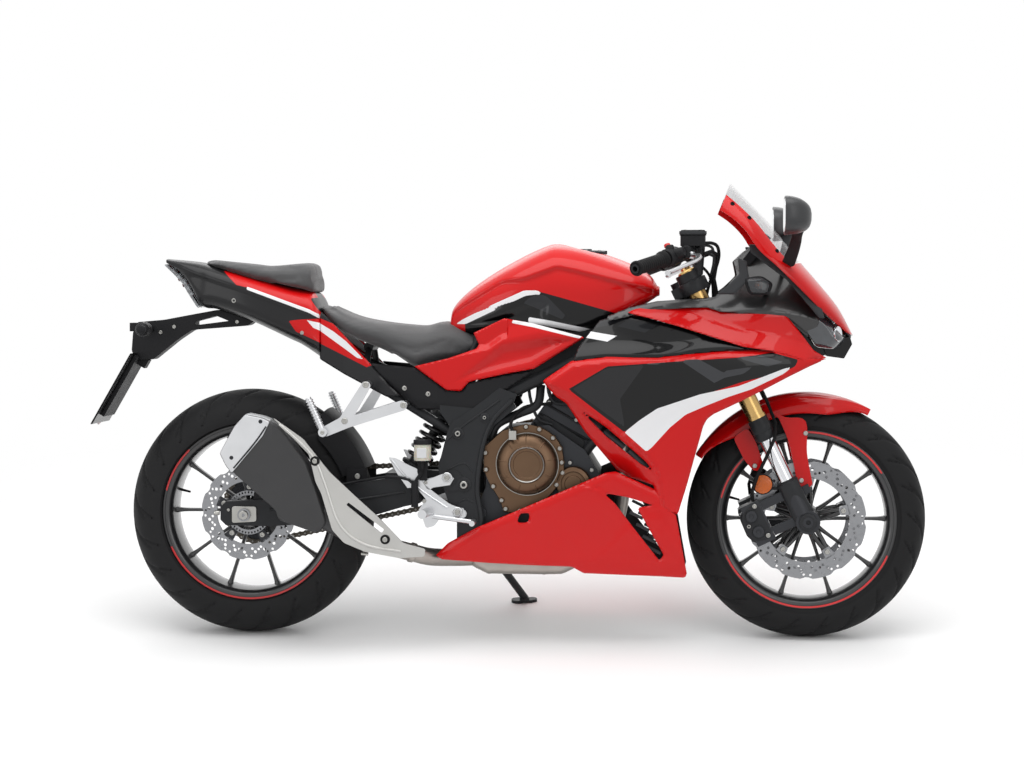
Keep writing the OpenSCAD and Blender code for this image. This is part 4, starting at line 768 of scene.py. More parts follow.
def add_rear_covers():
    """The painted panels under the seat, and the airbox side between tank and fairing."""
    paint = material("rear_cover_paint", "#1b1b1d", 0.42, bump=0.1, grain=0.001, tone=0.1, layers=[
        ("red", RED), ("white", WHITE)], coat_weight=0.3, coat_roughness=0.2, **DULL)
    s = Shape()
    s.sheet(cut(REAR_COVER), extent(REAR_COVER), lambda x, z: cover_w(x, z) - 1, cell=4, wall=4)
    red_band = [(-520, 809), (-480, 792), (-466, 776), (-390, 696), (-382, 690), (-396, 684), (-520, 746)]
    white_band = [(-520, 797), (-480, 773), (-449, 749), (-404, 704), (-420, 707), (-520, 779)]
    s.mirror().piece("rear_side_panels", "chassis", paint, sharp=28, slot="black_plastic",
                     marks={"red": mark(red_band), "white": mark(white_band)})
    # the airbox side seen between tank, cover and fairing
    s = Shape()
    s.plate(rounded([(-20, 662), (30, 782), (150, 800), (262, 796), (270, 700), (180, 640), (70, 640)], 16),
            -128, 128)
    s.piece("airbox_sides", "chassis", plastic, bevel=6)


add_fairings()
add_covers()
add_rear_covers()

# ---------- tank, seats and tail ----------


def ring(x, w, low, top, top_power, low_power, n=96):
    """A rounded outline across the bike at station x."""
    a = angles(n)
    c, s = np.cos(a), np.sin(a)
    e = 2 / np.where(s > 0, top_power, low_power)
    mid = low + 0.45 * (top - low)
    z = np.where(s > 0, mid + (top - mid) * np.abs(s) ** e, mid - (mid - low) * np.abs(s) ** e)
    return np.c_[np.full(n, x), w * np.sign(c) * np.abs(c) ** e, z]


def loft(stations, top_power, low_power, steps=7, ends=(6, 6), n=96):
    """Rings through smooth stations of (x, half width, low, top), closing in at both ends."""
    line = curve(stations, steps)
    rings = [ring(*p, top_power, low_power, n) for p in line]

    def close(r, inward, depth):
        mid = r.mean(axis=0)
        out = []
        for t in (0.35, 0.7, 0.92):
            scale = 1 - (1 - math.sqrt(1 - t * t)) * 0.35
            out.append(mid + (r - mid) * [1, scale, scale] + [inward * depth * t, 0, 0])
        return out
    first = close(rings[0], -1, ends[0])[::-1] if ends[0] else []
    last = close(rings[-1], 1, ends[1]) if ends[1] else []
    return np.array([*first, *rings, *last])


TANK = [(-192, 66, 776, 802), (-184, 84, 770, 836), (-146, 104, 764, 876), (-87, 128, 768, 918),
        (-19, 148, 772, 957), (43, 156, 770, 986), (80, 158, 766, 994), (142, 158, 762, 985),
        (219, 152, 790, 961), (271, 140, 824, 940), (312, 112, 850, 914), (330, 84, 862, 888)]
TANK_FOLD = [(-190, 826), (-150, 852), (-60, 905), (0, 911), (81, 940), (127, 931), (288, 890), (330, 880)]
CAP_X, CAP_R, CAP_Z = 150, 52, 978


def add_tank():
    """The tank with its knee hollows and filler cap."""
    rings = loft(TANK, 2.4, 5, steps=8, ends=(3, 6), n=240)
    flat = rings.reshape(-1, 3)
    below = np.maximum(0, -beyond(TANK_FOLD, flat[:, 0], flat[:, 2]))
    weight = np.clip(np.abs(flat[:, 1]) / 90, 0, 1) ** 2
    pull = 9 * ease(below, 16) - 2.0 * np.exp(-(below / 8) ** 2)
    knee = 10 * ease(inside([(-150, 790), (20, 860), (70, 850), (60, 790), (-60, 780)], flat[:, 0],
                            flat[:, 2]), 30)
    flat[:, 1] -= np.sign(flat[:, 1]) * weight * (pull + knee)
    # flat seat for the filler cap
    r = np.hypot(flat[:, 0] - CAP_X, flat[:, 1])
    dish = (flat[:, 2] > 940) * (1 - ease(r - CAP_R - 4, 10))
    flat[:, 2] = flat[:, 2] * (1 - dish) + np.minimum(flat[:, 2], CAP_Z - 10.2) * dish
    s = Shape()
    s.grid(flat.reshape(rings.shape), ring=True, caps=True)
    tank_red = material("red_tank", RED, layers=[("ink", "#09090a"), ("grey", "#26272a"), ("white_a", WHITE),
                                                 ("white_b", WHITE)], **GLOSS)
    ink_side = [(-152, 798), (0, 868), (34, 874), (82, 861), (223, 821), (290, 801), (250, 700), (-150, 700)]
    grey_side = [(34, 866), (54, 864), (102, 815), (96, 804), (20, 836), (-16, 850)]
    upper_white = [(-176, 792), (-157, 804), (-80, 841), (0, 876), (34, 876), (50, 863), (30, 866), (4, 863),
                   (-70, 829), (-150, 792)]
    lower_white = [(10, 810), (60, 802), (176, 778), (170, 768), (90, 782), (10, 796)]
    s.piece("tank_shell", "chassis", tank_red, sharp=50, replaces=["fuel_tank"], slot="red_paint",
            marks={"ink": mark(ink_side), "grey": mark(grey_side), "white_a": mark(upper_white),
                   "white_b": mark(lower_white)})
    # filler cap: ring, dome, screws and a hinge
    s = Shape()
    s.turned([(0, 8.4), (20, 8.4), (22, 7.4), (26, 7.4), (29, 9), (46, 9), (51, 6), (52, 0), (0, 0)],
             (CAP_X, 0, CAP_Z - 9.6), (0, 0, 1), steps=72)
    s.block((CAP_X - 15, -6, CAP_Z - 2), (CAP_X + 13, 6, CAP_Z + 3.6))
    s.block((CAP_X + 44, -13, CAP_Z - 9), (CAP_X + 52, 13, CAP_Z - 1))
    for k in range(6):
        a = math.tau * (k + 0.5) / 6
        s.bolt((CAP_X + 38 * math.cos(a), 38 * math.sin(a), CAP_Z - 1.4), (0, 0, 1), 4.2, 2.4, slot=1)
    s.piece("filler_cap", "fuel_cap", [alloy_dark, zinc], bevel=0.8, replaces=["fuel_cap"],
            slot="black_plastic")


SEAT = [(-514, 96, 826, 848), (-480, 118, 790, 831), (-427, 138, 758, 810), (-349, 150, 726, 797),
        (-278, 146, 680, 792), (-249, 140, 683, 791), (-218, 132, 689, 797), (-190, 124, 696, 796),
        (-160, 116, 704, 784), (-134, 108, 714, 768), (-116, 100, 726, 754)]
TAIL = [(-918, 56, 945, 957), (-870, 76, 905, 953), (-830, 88, 838, 948), (-790, 100, 828, 938),
        (-700, 116, 798, 912), (-600, 126, 752, 886), (-570, 129, 738, 880), (-536, 132, 716, 870),
        (-516, 134, 702, 826)]
PILLION = [(-820, 62, 957), (-770, 86, 951), (-700, 98, 944), (-653, 106, 939), (-600, 110, 943),
           (-570, 112, 946), (-545, 110, 946), (-536, 102, 916)]


def stuff(obj, voxel=0.006, pressure=4, cap=0.005):
    """Fills a pad like a cushion: remesh, inflate as cloth with its base held, and keep moves under cap."""
    mesh = obj.data
    m = obj.modifiers.new("remesh", "REMESH")
    m.mode, m.voxel_size, m.use_smooth_shade = "VOXEL", voxel, True
    bpy.context.view_layer.update()
    body = bpy.data.meshes.new_from_object(obj.evaluated_get(bpy.context.evaluated_depsgraph_get()))
    obj.modifiers.clear()
    obj.data = body
    start = np.zeros(len(body.vertices) * 3)
    body.vertices.foreach_get("co", start)
    start = start.reshape(-1, 3)
    up_mm = to_bike(start)[:, 2]
    held = obj.vertex_groups.new(name="held")
    low = np.percentile(up_mm, 22)
    held.add([int(i) for i in np.nonzero(up_mm < low)[0]], 1.0, "REPLACE")
    cloth = obj.modifiers.new("cloth", "CLOTH")
    cloth.settings.use_pressure = True
    cloth.settings.uniform_pressure_force = pressure
    cloth.settings.effector_weights.gravity = 0
    cloth.settings.vertex_group_mass = "held"
    cloth.settings.quality = 4
    cloth.point_cache.frame_start, cloth.point_cache.frame_end = 1, 20
    for f in range(1, 21):
        bpy.context.scene.frame_set(f)
    swollen = bpy.data.meshes.new_from_object(obj.evaluated_get(bpy.context.evaluated_depsgraph_get()))
    end = np.zeros(len(start) * 3)
    swollen.vertices.foreach_get("co", end)
    move = end.reshape(-1, 3) - start
    size = np.maximum(np.linalg.norm(move, axis=1, keepdims=True), 1e-9)
    start = start + move * np.minimum(1, cap / size)
    bpy.data.meshes.remove(swollen)
    obj.modifiers.clear()
    obj.vertex_groups.clear()
    bpy.context.scene.frame_set(1)
    body.vertices.foreach_set("co", start.ravel())
    for slot_material in mesh.materials:
        if slot_material.name not in body.materials:
            body.materials.append(slot_material)
    body.polygons.foreach_set("use_smooth", [True] * len(body.polygons))
    body.update()


def groove(obj, depth_at):
    """Presses sewn seams into a pad: depth_at gives each point's depth in millimetres, along its normal."""
    mesh = obj.data
    co = np.zeros(len(mesh.vertices) * 3)
    mesh.vertices.foreach_get("co", co)
    normal = np.zeros(len(mesh.vertices) * 3)
    mesh.vertices.foreach_get("normal", normal)
    co, normal = co.reshape(-1, 3), normal.reshape(-1, 3)
    co = co - normal * depth_at(to_bike(co))[:, None] * MM
    mesh.vertices.foreach_set("co", co.ravel())
    mesh.update()


SEAT_SEAM = [(-512, 828), (-463, 790), (-400, 762), (-330, 742), (-278, 732), (-240, 738), (-200, 752)]


def add_seats():
    """Both seat pads: cushions filled as cloth, then grooved at their seams."""
    shrink = 4
    rows = [(x, w - shrink, low + 1, top - shrink) for x, w, low, top in SEAT]
    s = Shape()
    s.grid(loft(rows, 2.8, 3.4, ends=(4, 6)), ring=True, caps=True)
    seat = s.piece("rider_seat_pad", "chassis", vinyl, sharp=60, replaces=["rider_seat"], slot="seat_cover")
    stuff(seat)

    def seat_seams(p):
        rim = 1.6 * np.exp(-(beyond(SEAT_SEAM, p[:, 0], p[:, 2]) / 3) ** 2) * (np.abs(p[:, 1]) > 60)
        dish = 5 * ease(90 - np.abs(p[:, 1]), 60) * ease(120 - np.abs(p[:, 0] + 320), 90) * (p[:, 2] > 770)
        return rim + dish
    groove(seat, seat_seams)
    tops = np.array([(t[0], t[3]) for t in TAIL])
    rows = [(x, w - shrink, float(np.interp(x, tops[:, 0], tops[:, 1])) + 1, top - shrink) for x, w,
            top in PILLION]
    s = Shape()
    s.grid(loft(rows, 2.8, 6, ends=(4, 4)), ring=True, caps=True)
    pad = s.piece("pillion_seat_pad", "chassis", vinyl, sharp=60, replaces=["pillion_seat"],
                  slot="seat_cover")
    stuff(pad)
    groove(pad, lambda p: 1.5 * np.exp(-((np.abs(p[:, 1]) - 58 - 0.02 * p[:, 0]) / 3) ** 2) * (p[:, 2] > 925))
    for cushion in (seat, pad):
        m = cushion.modifiers.new("smooth", "SUBSURF")
        m.levels = m.render_levels = 1


TAIL_RED = [(-768, 927), (-533, 886), (-514, 862), (-540, 856), (-510, 812), (-510, 800), (-541, 827),
            (-703, 885), (-727, 889)]
TAIL_STRIPE = [(-703, 879), (-541, 820), (-516, 806), (-516, 816), (-541, 829), (-700, 886)]
TAIL_LOW_RED = [(-594, 800), (-576, 773), (-510, 744), (-510, 806), (-570, 803)]
TAIL_LOW_WHITE = [(-576, 801), (-510, 774), (-510, 794), (-552, 803)]


def flank(outline):
    """Inside an outline on the tail's flanks, and not on its middle strip."""
    return lambda p: np.where(np.abs(p[:, 1]) > 50, mark(outline)(p), -5.0)


def add_tail():
    """The tail cowl with its graphics and screws."""
    rings = loft(TAIL, 3.4, 3, ends=(2, 2), n=120)
    flat = rings.reshape(-1, 3)
    below = np.maximum(0, -beyond([(-930, 950), (-703, 878), (-516, 812)], flat[:, 0], flat[:, 2]))
    weight = np.clip(np.abs(flat[:, 1]) / 60, 0, 1)
    flat[:, 1] -= np.sign(flat[:, 1]) * weight * (7 * ease(below, 10) - 4 * ease(below - 34, 40))
    s = Shape()
    s.grid(flat.reshape(rings.shape), ring=True, caps=True)
    cowl = material("tail_cowl_black", "#131315", 0.42, bump=0.12, grain=0.001, tone=0.1,
                    layers=[("red", RED), ("low_red", RED), ("white", WHITE), ("low_white", WHITE)],
                    coat_weight=0.3, coat_roughness=0.15, **DULL)
    s.piece("tail_cowl_shell", "chassis", cowl, sharp=40, replaces=["tail_cowl"], slot="black_plastic",
            marks={"red": flank(TAIL_RED), "white": flank(TAIL_STRIPE), "low_red": flank(TAIL_LOW_RED),
                   "low_white": flank(TAIL_LOW_WHITE)})
    s = Shape()
    for y in (-1, 1):
        s.bolt((-736, y * 101, 851), (0, y, 0), 6, 3)
        s.bolt((-560, y * 121, 770), (0, y, 0), 5, 3)
    s.piece("tail_screws", "chassis", zinc)


# ---------- nose, screen and front mudguard ----------

NOSE = [(515, 1148, 484, 1074, 150), (557, 1105, 516, 1052, 165), (599, 1061, 548, 1020, 178),
        (650, 1000, 578, 976, 186), (691, 945, 622, 936, 184), (729, 901, 668, 892, 172),
        (783, 834, 738, 824, 140), (821, 764, 796, 774, 78)]
NOSE_LINE = curve(NOSE, 20)
SCREEN_A = 58


def nose_point(t, a, inset=0.0):
    """Point on the nose: t along its stations, a degrees round from the middle, sunk by inset."""
    r = NOSE_LINE[min(int(round(t * 20)), len(NOSE_LINE) - 1)]
    k, c = 1 - math.cos(math.radians(a)), math.cos(math.radians(a))
    return (r[0] + (r[2] - r[0]) * k - inset * 0.7 * c, -(r[4] - inset) * math.sin(math.radians(a)),
            r[1] + (r[3] - r[1]) * k - inset * 0.7 * c)


def nose_sheet(s, ts, angles, inset=0.0, wall=3.6, slot=0):
    """A closed panel over part of the nose."""
    outer = [[nose_point(t, a, inset) for a in angles] for t in ts]
    inner = [[nose_point(t, a, inset + wall) for a in angles] for t in ts]
    rows = [o + i[::-1] for o, i in zip(outer, inner)]
    return s.grid(rows, slot, ring=True, caps=True)


def add_nose():
    """The nose cowl and the windscreen that fills its opening."""
    edge = SCREEN_A + 0.6
    s = Shape()
    around = [-90, *np.linspace(-84, 84, 57), 90]
    nose_sheet(s, np.arange(4, 7.01, 0.1), around)
    for sign in (-1, 1):
        nose_sheet(s, np.arange(0, 4.01, 0.1), [sign * a for a in np.linspace(edge, 90, 10)])
    cowl = material("red_cowl", RED, layers=[("white", WHITE), ("ink", "#1a1a1c")], **GLOSS)

    def half(p):
        return 30 + 0.10 * (p[:, 2] - 760)
    s.piece("nose_cowl_shell", "chassis", cowl, sharp=40, replaces=["nose_cowl"], slot="red_paint", marks={
        "white": lambda p: np.minimum(half(p) + 12 - np.abs(p[:, 1]), 985 - p[:, 2]),
        "ink": lambda p: np.minimum(half(p) - np.abs(p[:, 1]), 980 - p[:, 2])})
    s = Shape()
    nose_sheet(s, np.arange(0, 3.96, 0.1), np.linspace(-SCREEN_A, SCREEN_A, 49), inset=2, wall=3)
    s.piece("windscreen_sheet", "chassis", screen_clear, sharp=40, replaces=["windscreen"],
            slot="screen_clear")
    s = Shape()
    for t, a in [(3.3, 63), (1.6, 64), (0.5, 66)]:
        for sign in (-1, 1):
            p = np.array(nose_point(t, sign * a))
            s.bolt(p, unit([p[0] - 470, p[1], 60]), 5.5, 2.5)
    s.piece("screen_screws", "chassis", rubber)


FENDER_R, FENDER_HW = 320, 72


def add_front_fender():
    """The front mudguard, its stays and its screws."""
    s = Shape()
    rows_out, rows_in = [], []
    angles = np.linspace(60, 150, 72)
    for deg in angles:
        a = math.radians(deg)
        tip = ease(np.array(deg - 60.0), 22) * ease(np.array(150.0 - deg), 26)
        half = FENDER_HW * (0.55 + 0.45 * float(tip))
        skirt = 14 + 34 * float(tip)
        row_out, row_in = [], []
        for t in np.linspace(-1, 1, 41):
            phi = t * math.pi / 2
            y = half * blunt(math.sin(phi), 0.75)
            fall = skirt * (1 - abs(math.cos(phi)) ** 0.9)
            ridge = 4 * math.exp(-((abs(t) - 0.52) / 0.06) ** 2)
            for row, r, w in ((row_out, FENDER_R + ridge, y), (row_in, FENDER_R - 3.5, y * 0.955)):
                rr = r - fall
                row.append((FX + rr * math.cos(a), w, FZ + rr * math.sin(a)))
        rows_out.append(row_out)
        rows_in.append(row_in)
    s.grid([o + i[::-1] for o, i in zip(rows_out, rows_in)], ring=True, caps=True)
    stay = curve([(612, 577), (650, 560), (700, 550), (704, 470), (718, 393)], 5).tolist()
    stay += curve([(704, 377), (684, 384), (670, 446), (656, 504), (634, 556)], 5).tolist()
    for outline in (stay, rounded([(520, 508), (556, 534), (578, 495), (598, 434), (574, 422), (548, 452)],
                                  12)):
        s.plate(outline, -79, -72)
        s.plate(outline, 72, 79)
    s.piece("front_mudguard", "steering", red, bevel=1.2, sharp=32, replaces=["front_fender"],
            slot="red_paint")
    s = Shape()
    for y in (-1, 1):
        for x, z in [(690, 402), (700, 520), (574, 438)]:
            s.bolt((x, y * 79, z), (0, y, 0), 6, 3.5)
    s.piece("mudguard_screws", "steering", zinc)


add_tank()
add_seats()
add_tail()
add_nose()
add_front_fender()

# ---------- wheels ----------

RIM_R, FRONT_BEAD, REAR_BEAD = 216, 44, 57


def add_tyre(name, body, x, z, r, w, bead, node, steps=640, across=50):
    """A tyre with sipes cut into its crown."""
    crown = w / 2
    t = np.linspace(-1, 1, across)
    phi = t * math.radians(97)
    section_r = r - crown + crown * np.cos(phi)
    section_y = crown * np.sin(phi)
    side = np.abs(t) > 0.999
    section_r[side] = r - crown - 4
    low_r = np.array([RIM_R + 26, RIM_R + 8, RIM_R + 1])
    low_y = np.array([crown * 0.9, bead + 5, bead])
    prof_r = np.r_[low_r[::-1], section_r, low_r]
    prof_y = np.r_[-low_y[::-1], section_y, low_y]
    prof_t = np.r_[[-2] * 3, t, [2] * 3]
    pitch = math.tau / 22
    a = np.arange(steps) * math.tau / steps
    A, T = np.meshgrid(a, prof_t, indexing="ij")
    U, side_sign = np.abs(T), np.sign(T)
    drop = np.zeros_like(A)
    for start, end, lean, shift, width in [(0.10, 0.66, 1.05, 0.0, 2.6), (0.40, 0.86, 0.55, 0.52, 2.2)]:
        line = lean * pitch * np.clip((U - start) / (end - start), 0, 1) ** 1.25 + shift * pitch
        off = (A + side_sign * 0.25 * pitch - line + pitch / 2) % pitch - pitch / 2
        slope = lean * pitch * 1.25 / ((end - start) * crown * 1.7)
        gap = np.abs(off) * r / math.sqrt(1 + (slope * r) ** 2)
        deep = (1 - ease(gap - width * 0.6, 1.6)) * ease(U - start, 0.03) * ease(end - U, 0.05)
        drop = np.maximum(drop, 3.4 * deep)
    R = prof_r[None, :] - drop * np.cos(np.clip(T, -1, 1) * 1.5)
    Y = prof_y[None, :] - drop * np.sin(np.clip(T, -1, 1) * 1.5)
    R = R + 0.8 * ((np.abs(prof_t) > 1.5) & (prof_r > RIM_R + 20))[None, :]
    rows = np.stack([x + R * np.cos(A), Y, z + R * np.sin(A)], axis=2)
    s = Shape()
    s.grid(rows, loop=True, ring=True)
    # raised rings on the sidewalls
    for y in (-1, 1):
        for ring_r in (RIM_R + 14, RIM_R + 34):
            s.turned([(ring_r, -1.0), (ring_r + 1.3, 0.5), (ring_r + 2.6, -1.0)],
                     (x, y * (bead + 5 if ring_r < RIM_R + 20 else crown * 0.955), z), (0, y, 0), steps=160)
    s.piece(name, body, tyre_rubber, sharp=50, replaces=[node], slot="tyre")


def spoke(s, x, z, deg, r0, r1, wide, deep, flare):
    """One slender spoke, flared into hub and rim."""
    a = math.radians(deg)
    out, side = np.array([math.cos(a), 0, math.sin(a)]), np.array([-math.sin(a), 0, math.cos(a)])
    rows = []
    for t in np.linspace(0, 1, 15):
        near = math.exp(-t / 0.09) + math.exp(-(1 - t) / 0.07)
        w, d = wide * (1 + flare * near), deep * (1 + 0.25 * near)
        base = np.array([x, 0, z]) + out * (r0 + (r1 - r0) * t)
        ring_points = []
        for b in angles(16):
            ring_points.append(base + side * w * blunt(math.cos(b), 0.75)
                               + np.array([0, d * blunt(math.sin(b), 0.55), 0]))
        rows.append(ring_points)
    s.grid(rows, ring=True, caps=True)


def boss_ways():
    """The cosine and sine of the five directions in which the discs are bolted to the hubs."""
    for k in range(5):
        a = math.radians(15 + 72 * k)
        yield math.cos(a), math.sin(a)


def add_rim(name, body, x, z, bead, hub_w, hub_r, boss_y, boss_r, node):
    s = Shape()
    lip, barrel = RIM_R + 9, RIM_R - 14
    out = bead + 7
    s.turned([(lip, -out), (lip + 0.5, -bead - 3), (lip - 1, -bead), (RIM_R, -bead), (RIM_R - 1, -bead + 8),
              (RIM_R - 7, -bead + 20), (RIM_R - 7, bead - 20), (RIM_R - 1, bead - 8), (RIM_R, bead),
              (lip - 1, bead), (lip + 0.5, bead + 3), (lip, out), (lip - 5, out + 1.2), (barrel + 7, out - 2),
              (barrel + 1, out - 9), (barrel - 2, out - 22), (barrel - 4, 8), (barrel - 4, -8),
              (barrel - 2, -out + 22), (barrel + 1, -out + 9), (barrel + 7, -out + 2), (lip - 5, -out - 1.2)],
             (x, 0, z), steps=240, closed=True)
    for k in range(10):
        spoke(s, x, z, 36 * k, hub_r - 5, barrel + 1, 4.3, 12, 1.1)
    s.turned([(11, hub_w), (hub_r * 0.72, hub_w), (hub_r, hub_w * 0.8), (hub_r, hub_w * 0.42),
              (hub_r + 3, hub_w * 0.3), (hub_r + 3, -hub_w * 0.3), (hub_r, -hub_w * 0.42),
              (hub_r, -hub_w * 0.8), (hub_r * 0.72, -hub_w), (11, -hub_w)], (x, 0, z), steps=96, closed=True)
    for c, q in boss_ways():
        for y in (-1, 1):
            s.rod((x + boss_r * c, y * (boss_y - 28), z + boss_r * q),
                  (x + boss_r * c, y * boss_y, z + boss_r * q), 10.5, steps=28)
            for t in (-5, 5):
                side_x, side_z = -q * t, c * t
                foot_of = (x + (hub_r - 4) * c + side_x * 1.6, y * (boss_y - 24),
                           z + (hub_r - 4) * q + side_z * 1.6)
                bend = (x + boss_r * 0.8 * c + side_x, y * (boss_y - 14), z + boss_r * 0.8 * q + side_z)
                tip = (x + boss_r * c, y * (boss_y - 10), z + boss_r * q)
                s.tube([foot_of, bend, tip], 6, sides=10, n=4)
    rim_paint = material(name + "_paint", "#1a1a1c", 0.35, tone=0.08, bump=0.08, grain=0.001, layers=[
        ("pin", "#d0161a")], coat_weight=0.6, coat_roughness=0.12)

    def pin(p):
        r, a = np.hypot(p[:, 0] - x, p[:, 2] - z), np.degrees(np.arctan2(p[:, 2] - z, p[:, 0] - x)) % 360
        arcs = np.max([(1 - np.abs((a - middle + 180) % 360 - 180) / half) * 40
                       for middle, half in [(270, 66), (62, 30), (150, 16)]], axis=0)
        return np.minimum.reduce([2.4 - np.abs(r - (RIM_R + 4.4)), np.abs(p[:, 1]) - bead - 4, arcs])
    # a fine ring carries the painted line
    for y in (-1, 1):
        s.turned([(RIM_R + 8, out), (RIM_R + 6.8, out + 1.6), (RIM_R + 4.4, out + 1.9),
                  (RIM_R + 2, out + 1.6), (RIM_R + 0.8, out)], (x, 0, z), (0, y, 0), steps=240)
    s.piece(name, body, rim_paint, sharp=38, replaces=[node], slot="wheel_black", marks={"pin": pin})
    s = Shape()
    way_x, way_z = -0.966, 0.26
    s.rod((x + way_x * 200, 4, z + way_z * 200), (x + way_x * 172, 8, z + way_z * 172), 3.6, 2.6)
    s.piece(name + "_valve", body, rubber)


def disc_outline(x, z, r):
    points = []
    for deg in range(0, 360, 2):
        d = math.radians((deg + 15) % 30 - 15)
        reach = 22 ** 2 - ((r + 17) * math.sin(d)) ** 2
        radius = (r + 17) * math.cos(d) - math.sqrt(reach) if reach > 0 else r
        a = math.radians(deg)
        radius = min(r, radius)
        points.append((x + radius * math.cos(a), z + radius * math.sin(a)))
    return points


def add_disc(name, body, x, z, y0, y1, r, inner, boss_r, node, carrier=False):
    holes = []
    span = r - 14 - inner
    for k in range(12):
        for part, turn, size in [(0.20, -9, 3.6), (0.55, -5, 4.2), (0.90, -11, 3.4), (0.2, 5, 3.6),
                                 (0.55, 9, 4.2), (0.86, 12, 3.2), (0.35, 0.5, 3.4)]:
            a = math.radians(30 * k + 15 + turn)
            rr = inner + 7 + span * part
            holes.append(circle(x + rr * math.cos(a), z + rr * math.sin(a), size, 10)[::-1])
    s = Shape()
    for low, high in ([(y0, y1)] if node == "rear_disc" else [(y0, y1), (-y1, -y0)]):
        s.plate(disc_outline(x, z, r), low, high, holes=[circle(x, z, inner, 90)[::-1], *holes])
        for c, q in boss_ways():
            ear = [(x + (boss_r - 10) * c - 9 * q * m, z + (boss_r - 10) * q + 9 * c * m) for m in (-1, 1)]
            ear += [(x + (inner + 3) * c - 14 * q * m, z + (inner + 3) * q + 14 * c * m) for m in (1, -1)]
            s.plate(rounded(ear, 4), low, high, slot=1)
    s.piece(name, body, [steel, alloy_dark if carrier else steel], bevel=0.3, sharp=40, replaces=[node],
            slot="disc_steel")
    s = Shape()
    for y in ([-1] if node == "rear_disc" else [-1, 1]):
        top = max(abs(y0), abs(y1))
        for c, q in boss_ways():
            s.bolt((x + boss_r * c, y * (top - 0.2), z + boss_r * q), (0, y, 0), 7, 4.4)
    s.piece(name + "_bolts", body, zinc, bevel=0.3)


def tone_ring(name, body, x, z, y, r):
    """The slotted ring that a wheel speed sensor reads."""
    s = Shape()
    slots = []
    for k in range(40):
        a = math.tau * k / 40
        b = math.tau / 40 * 0.25
        slots.append([(x + q * math.cos(a + e), z + q * math.sin(a + e)) for q, e in
                      ((r - 7, -b), (r - 2, -b), (r - 2, b), (r - 7, b))])
    s.plate(circle(x, z, r, 80), y, y + 1.6, holes=[circle(x, z, r - 12, 60)[::-1], *slots])
    s.piece(name, body, steel, sharp=30)


add_tyre("front_tyre_tread", "front_wheel", FX, FZ, 300, 120, FRONT_BEAD, "front_tyre")
add_tyre("rear_tyre_tread", "rear_wheel", RX, RZ, 312, 160, REAR_BEAD, "rear_tyre")
add_rim("front_wheel_rim", "front_wheel", FX, FZ, FRONT_BEAD, 66, 34, 60, 94, "front_rim")
add_rim("rear_wheel_rim", "rear_wheel", RX, RZ, REAR_BEAD, 84, 38, 78, 66, "rear_rim")
add_disc("front_wave_discs", "front_wheel", FX, FZ, -65.3, -60.3, 148, 106, 94, "front_discs")
add_disc("rear_wave_disc", "rear_wheel", RX, RZ, -83.3, -78.3, 120, 80, 66, "rear_disc", carrier=True)
tone_ring("rear_tone_ring", "rear_wheel", RX, RZ, -78.2, 56)


def add_sprocket():
    """The rear sprocket with its teeth, carrier and bolts."""
    s = Shape()
    teeth = []
    for k in range(41):
        for turn, r in ((-0.30, 86.5), (-0.14, 91.5), (0.14, 91.5), (0.30, 86.5)):
            a = math.tau * (k + turn) / 41
            teeth.append((RX + r * math.cos(a), RZ + r * math.sin(a)))
    s.plate(teeth, 88.8, 95.2, holes=[circle(RX, RZ, 50, 60)[::-1]])
    s.turned([(40, 79), (70, 79), (71, 84), (60, 88.8), (60, 95.2), (50, 97), (27, 97), (26, 104.5),
              (12, 104.5), (12, 85.5), (40, 85.5)], (RX, 0, RZ), steps=80, closed=True)
    for k in range(5):
        a = math.tau * (k + 0.5) / 5
        s.bolt((RX + 50 * math.cos(a), 96.8, RZ + 50 * math.sin(a)), (0, 1, 0), 7, 5, slot=1)
    s.piece("rear_sprocket_teeth", "rear_wheel", [alloy_dark, zinc], bevel=0.4, replaces=["rear_sprocket"],
            slot="cast_black")


CHAIN_Y, CHAIN_R = 92, 92.0
DRIVE_X, DRIVE_Z, DRIVE_R = -40.0, 402.0, 36.0


def chain_path(n=112):
    """Evenly spaced points round both sprockets."""
    a, b, ra, rb = np.array([RX, RZ]), np.array([DRIVE_X, DRIVE_Z]), CHAIN_R, DRIVE_R
    line = b - a
    length, angle = np.linalg.norm(line), math.atan2(line[1], line[0])
    tilt = math.acos((ra - rb) / length)
    def arc(middle, r, start, end, count):
        return [middle + r * np.array([math.cos(t), math.sin(t)]) for t in np.linspace(start, end, count)]

    loop = arc(a, ra, angle + tilt, angle + math.tau - tilt, 120)
    loop += arc(b, rb, angle - tilt, angle + tilt, 50)
    loop = np.array(loop + [loop[0]])
    run = np.r_[0, np.cumsum(np.linalg.norm(np.diff(loop, axis=0), axis=1))]
    at = np.linspace(0, run[-1], n, endpoint=False)
    return np.c_[np.interp(at, run, loop[:, 0]), np.interp(at, run, loop[:, 1])]


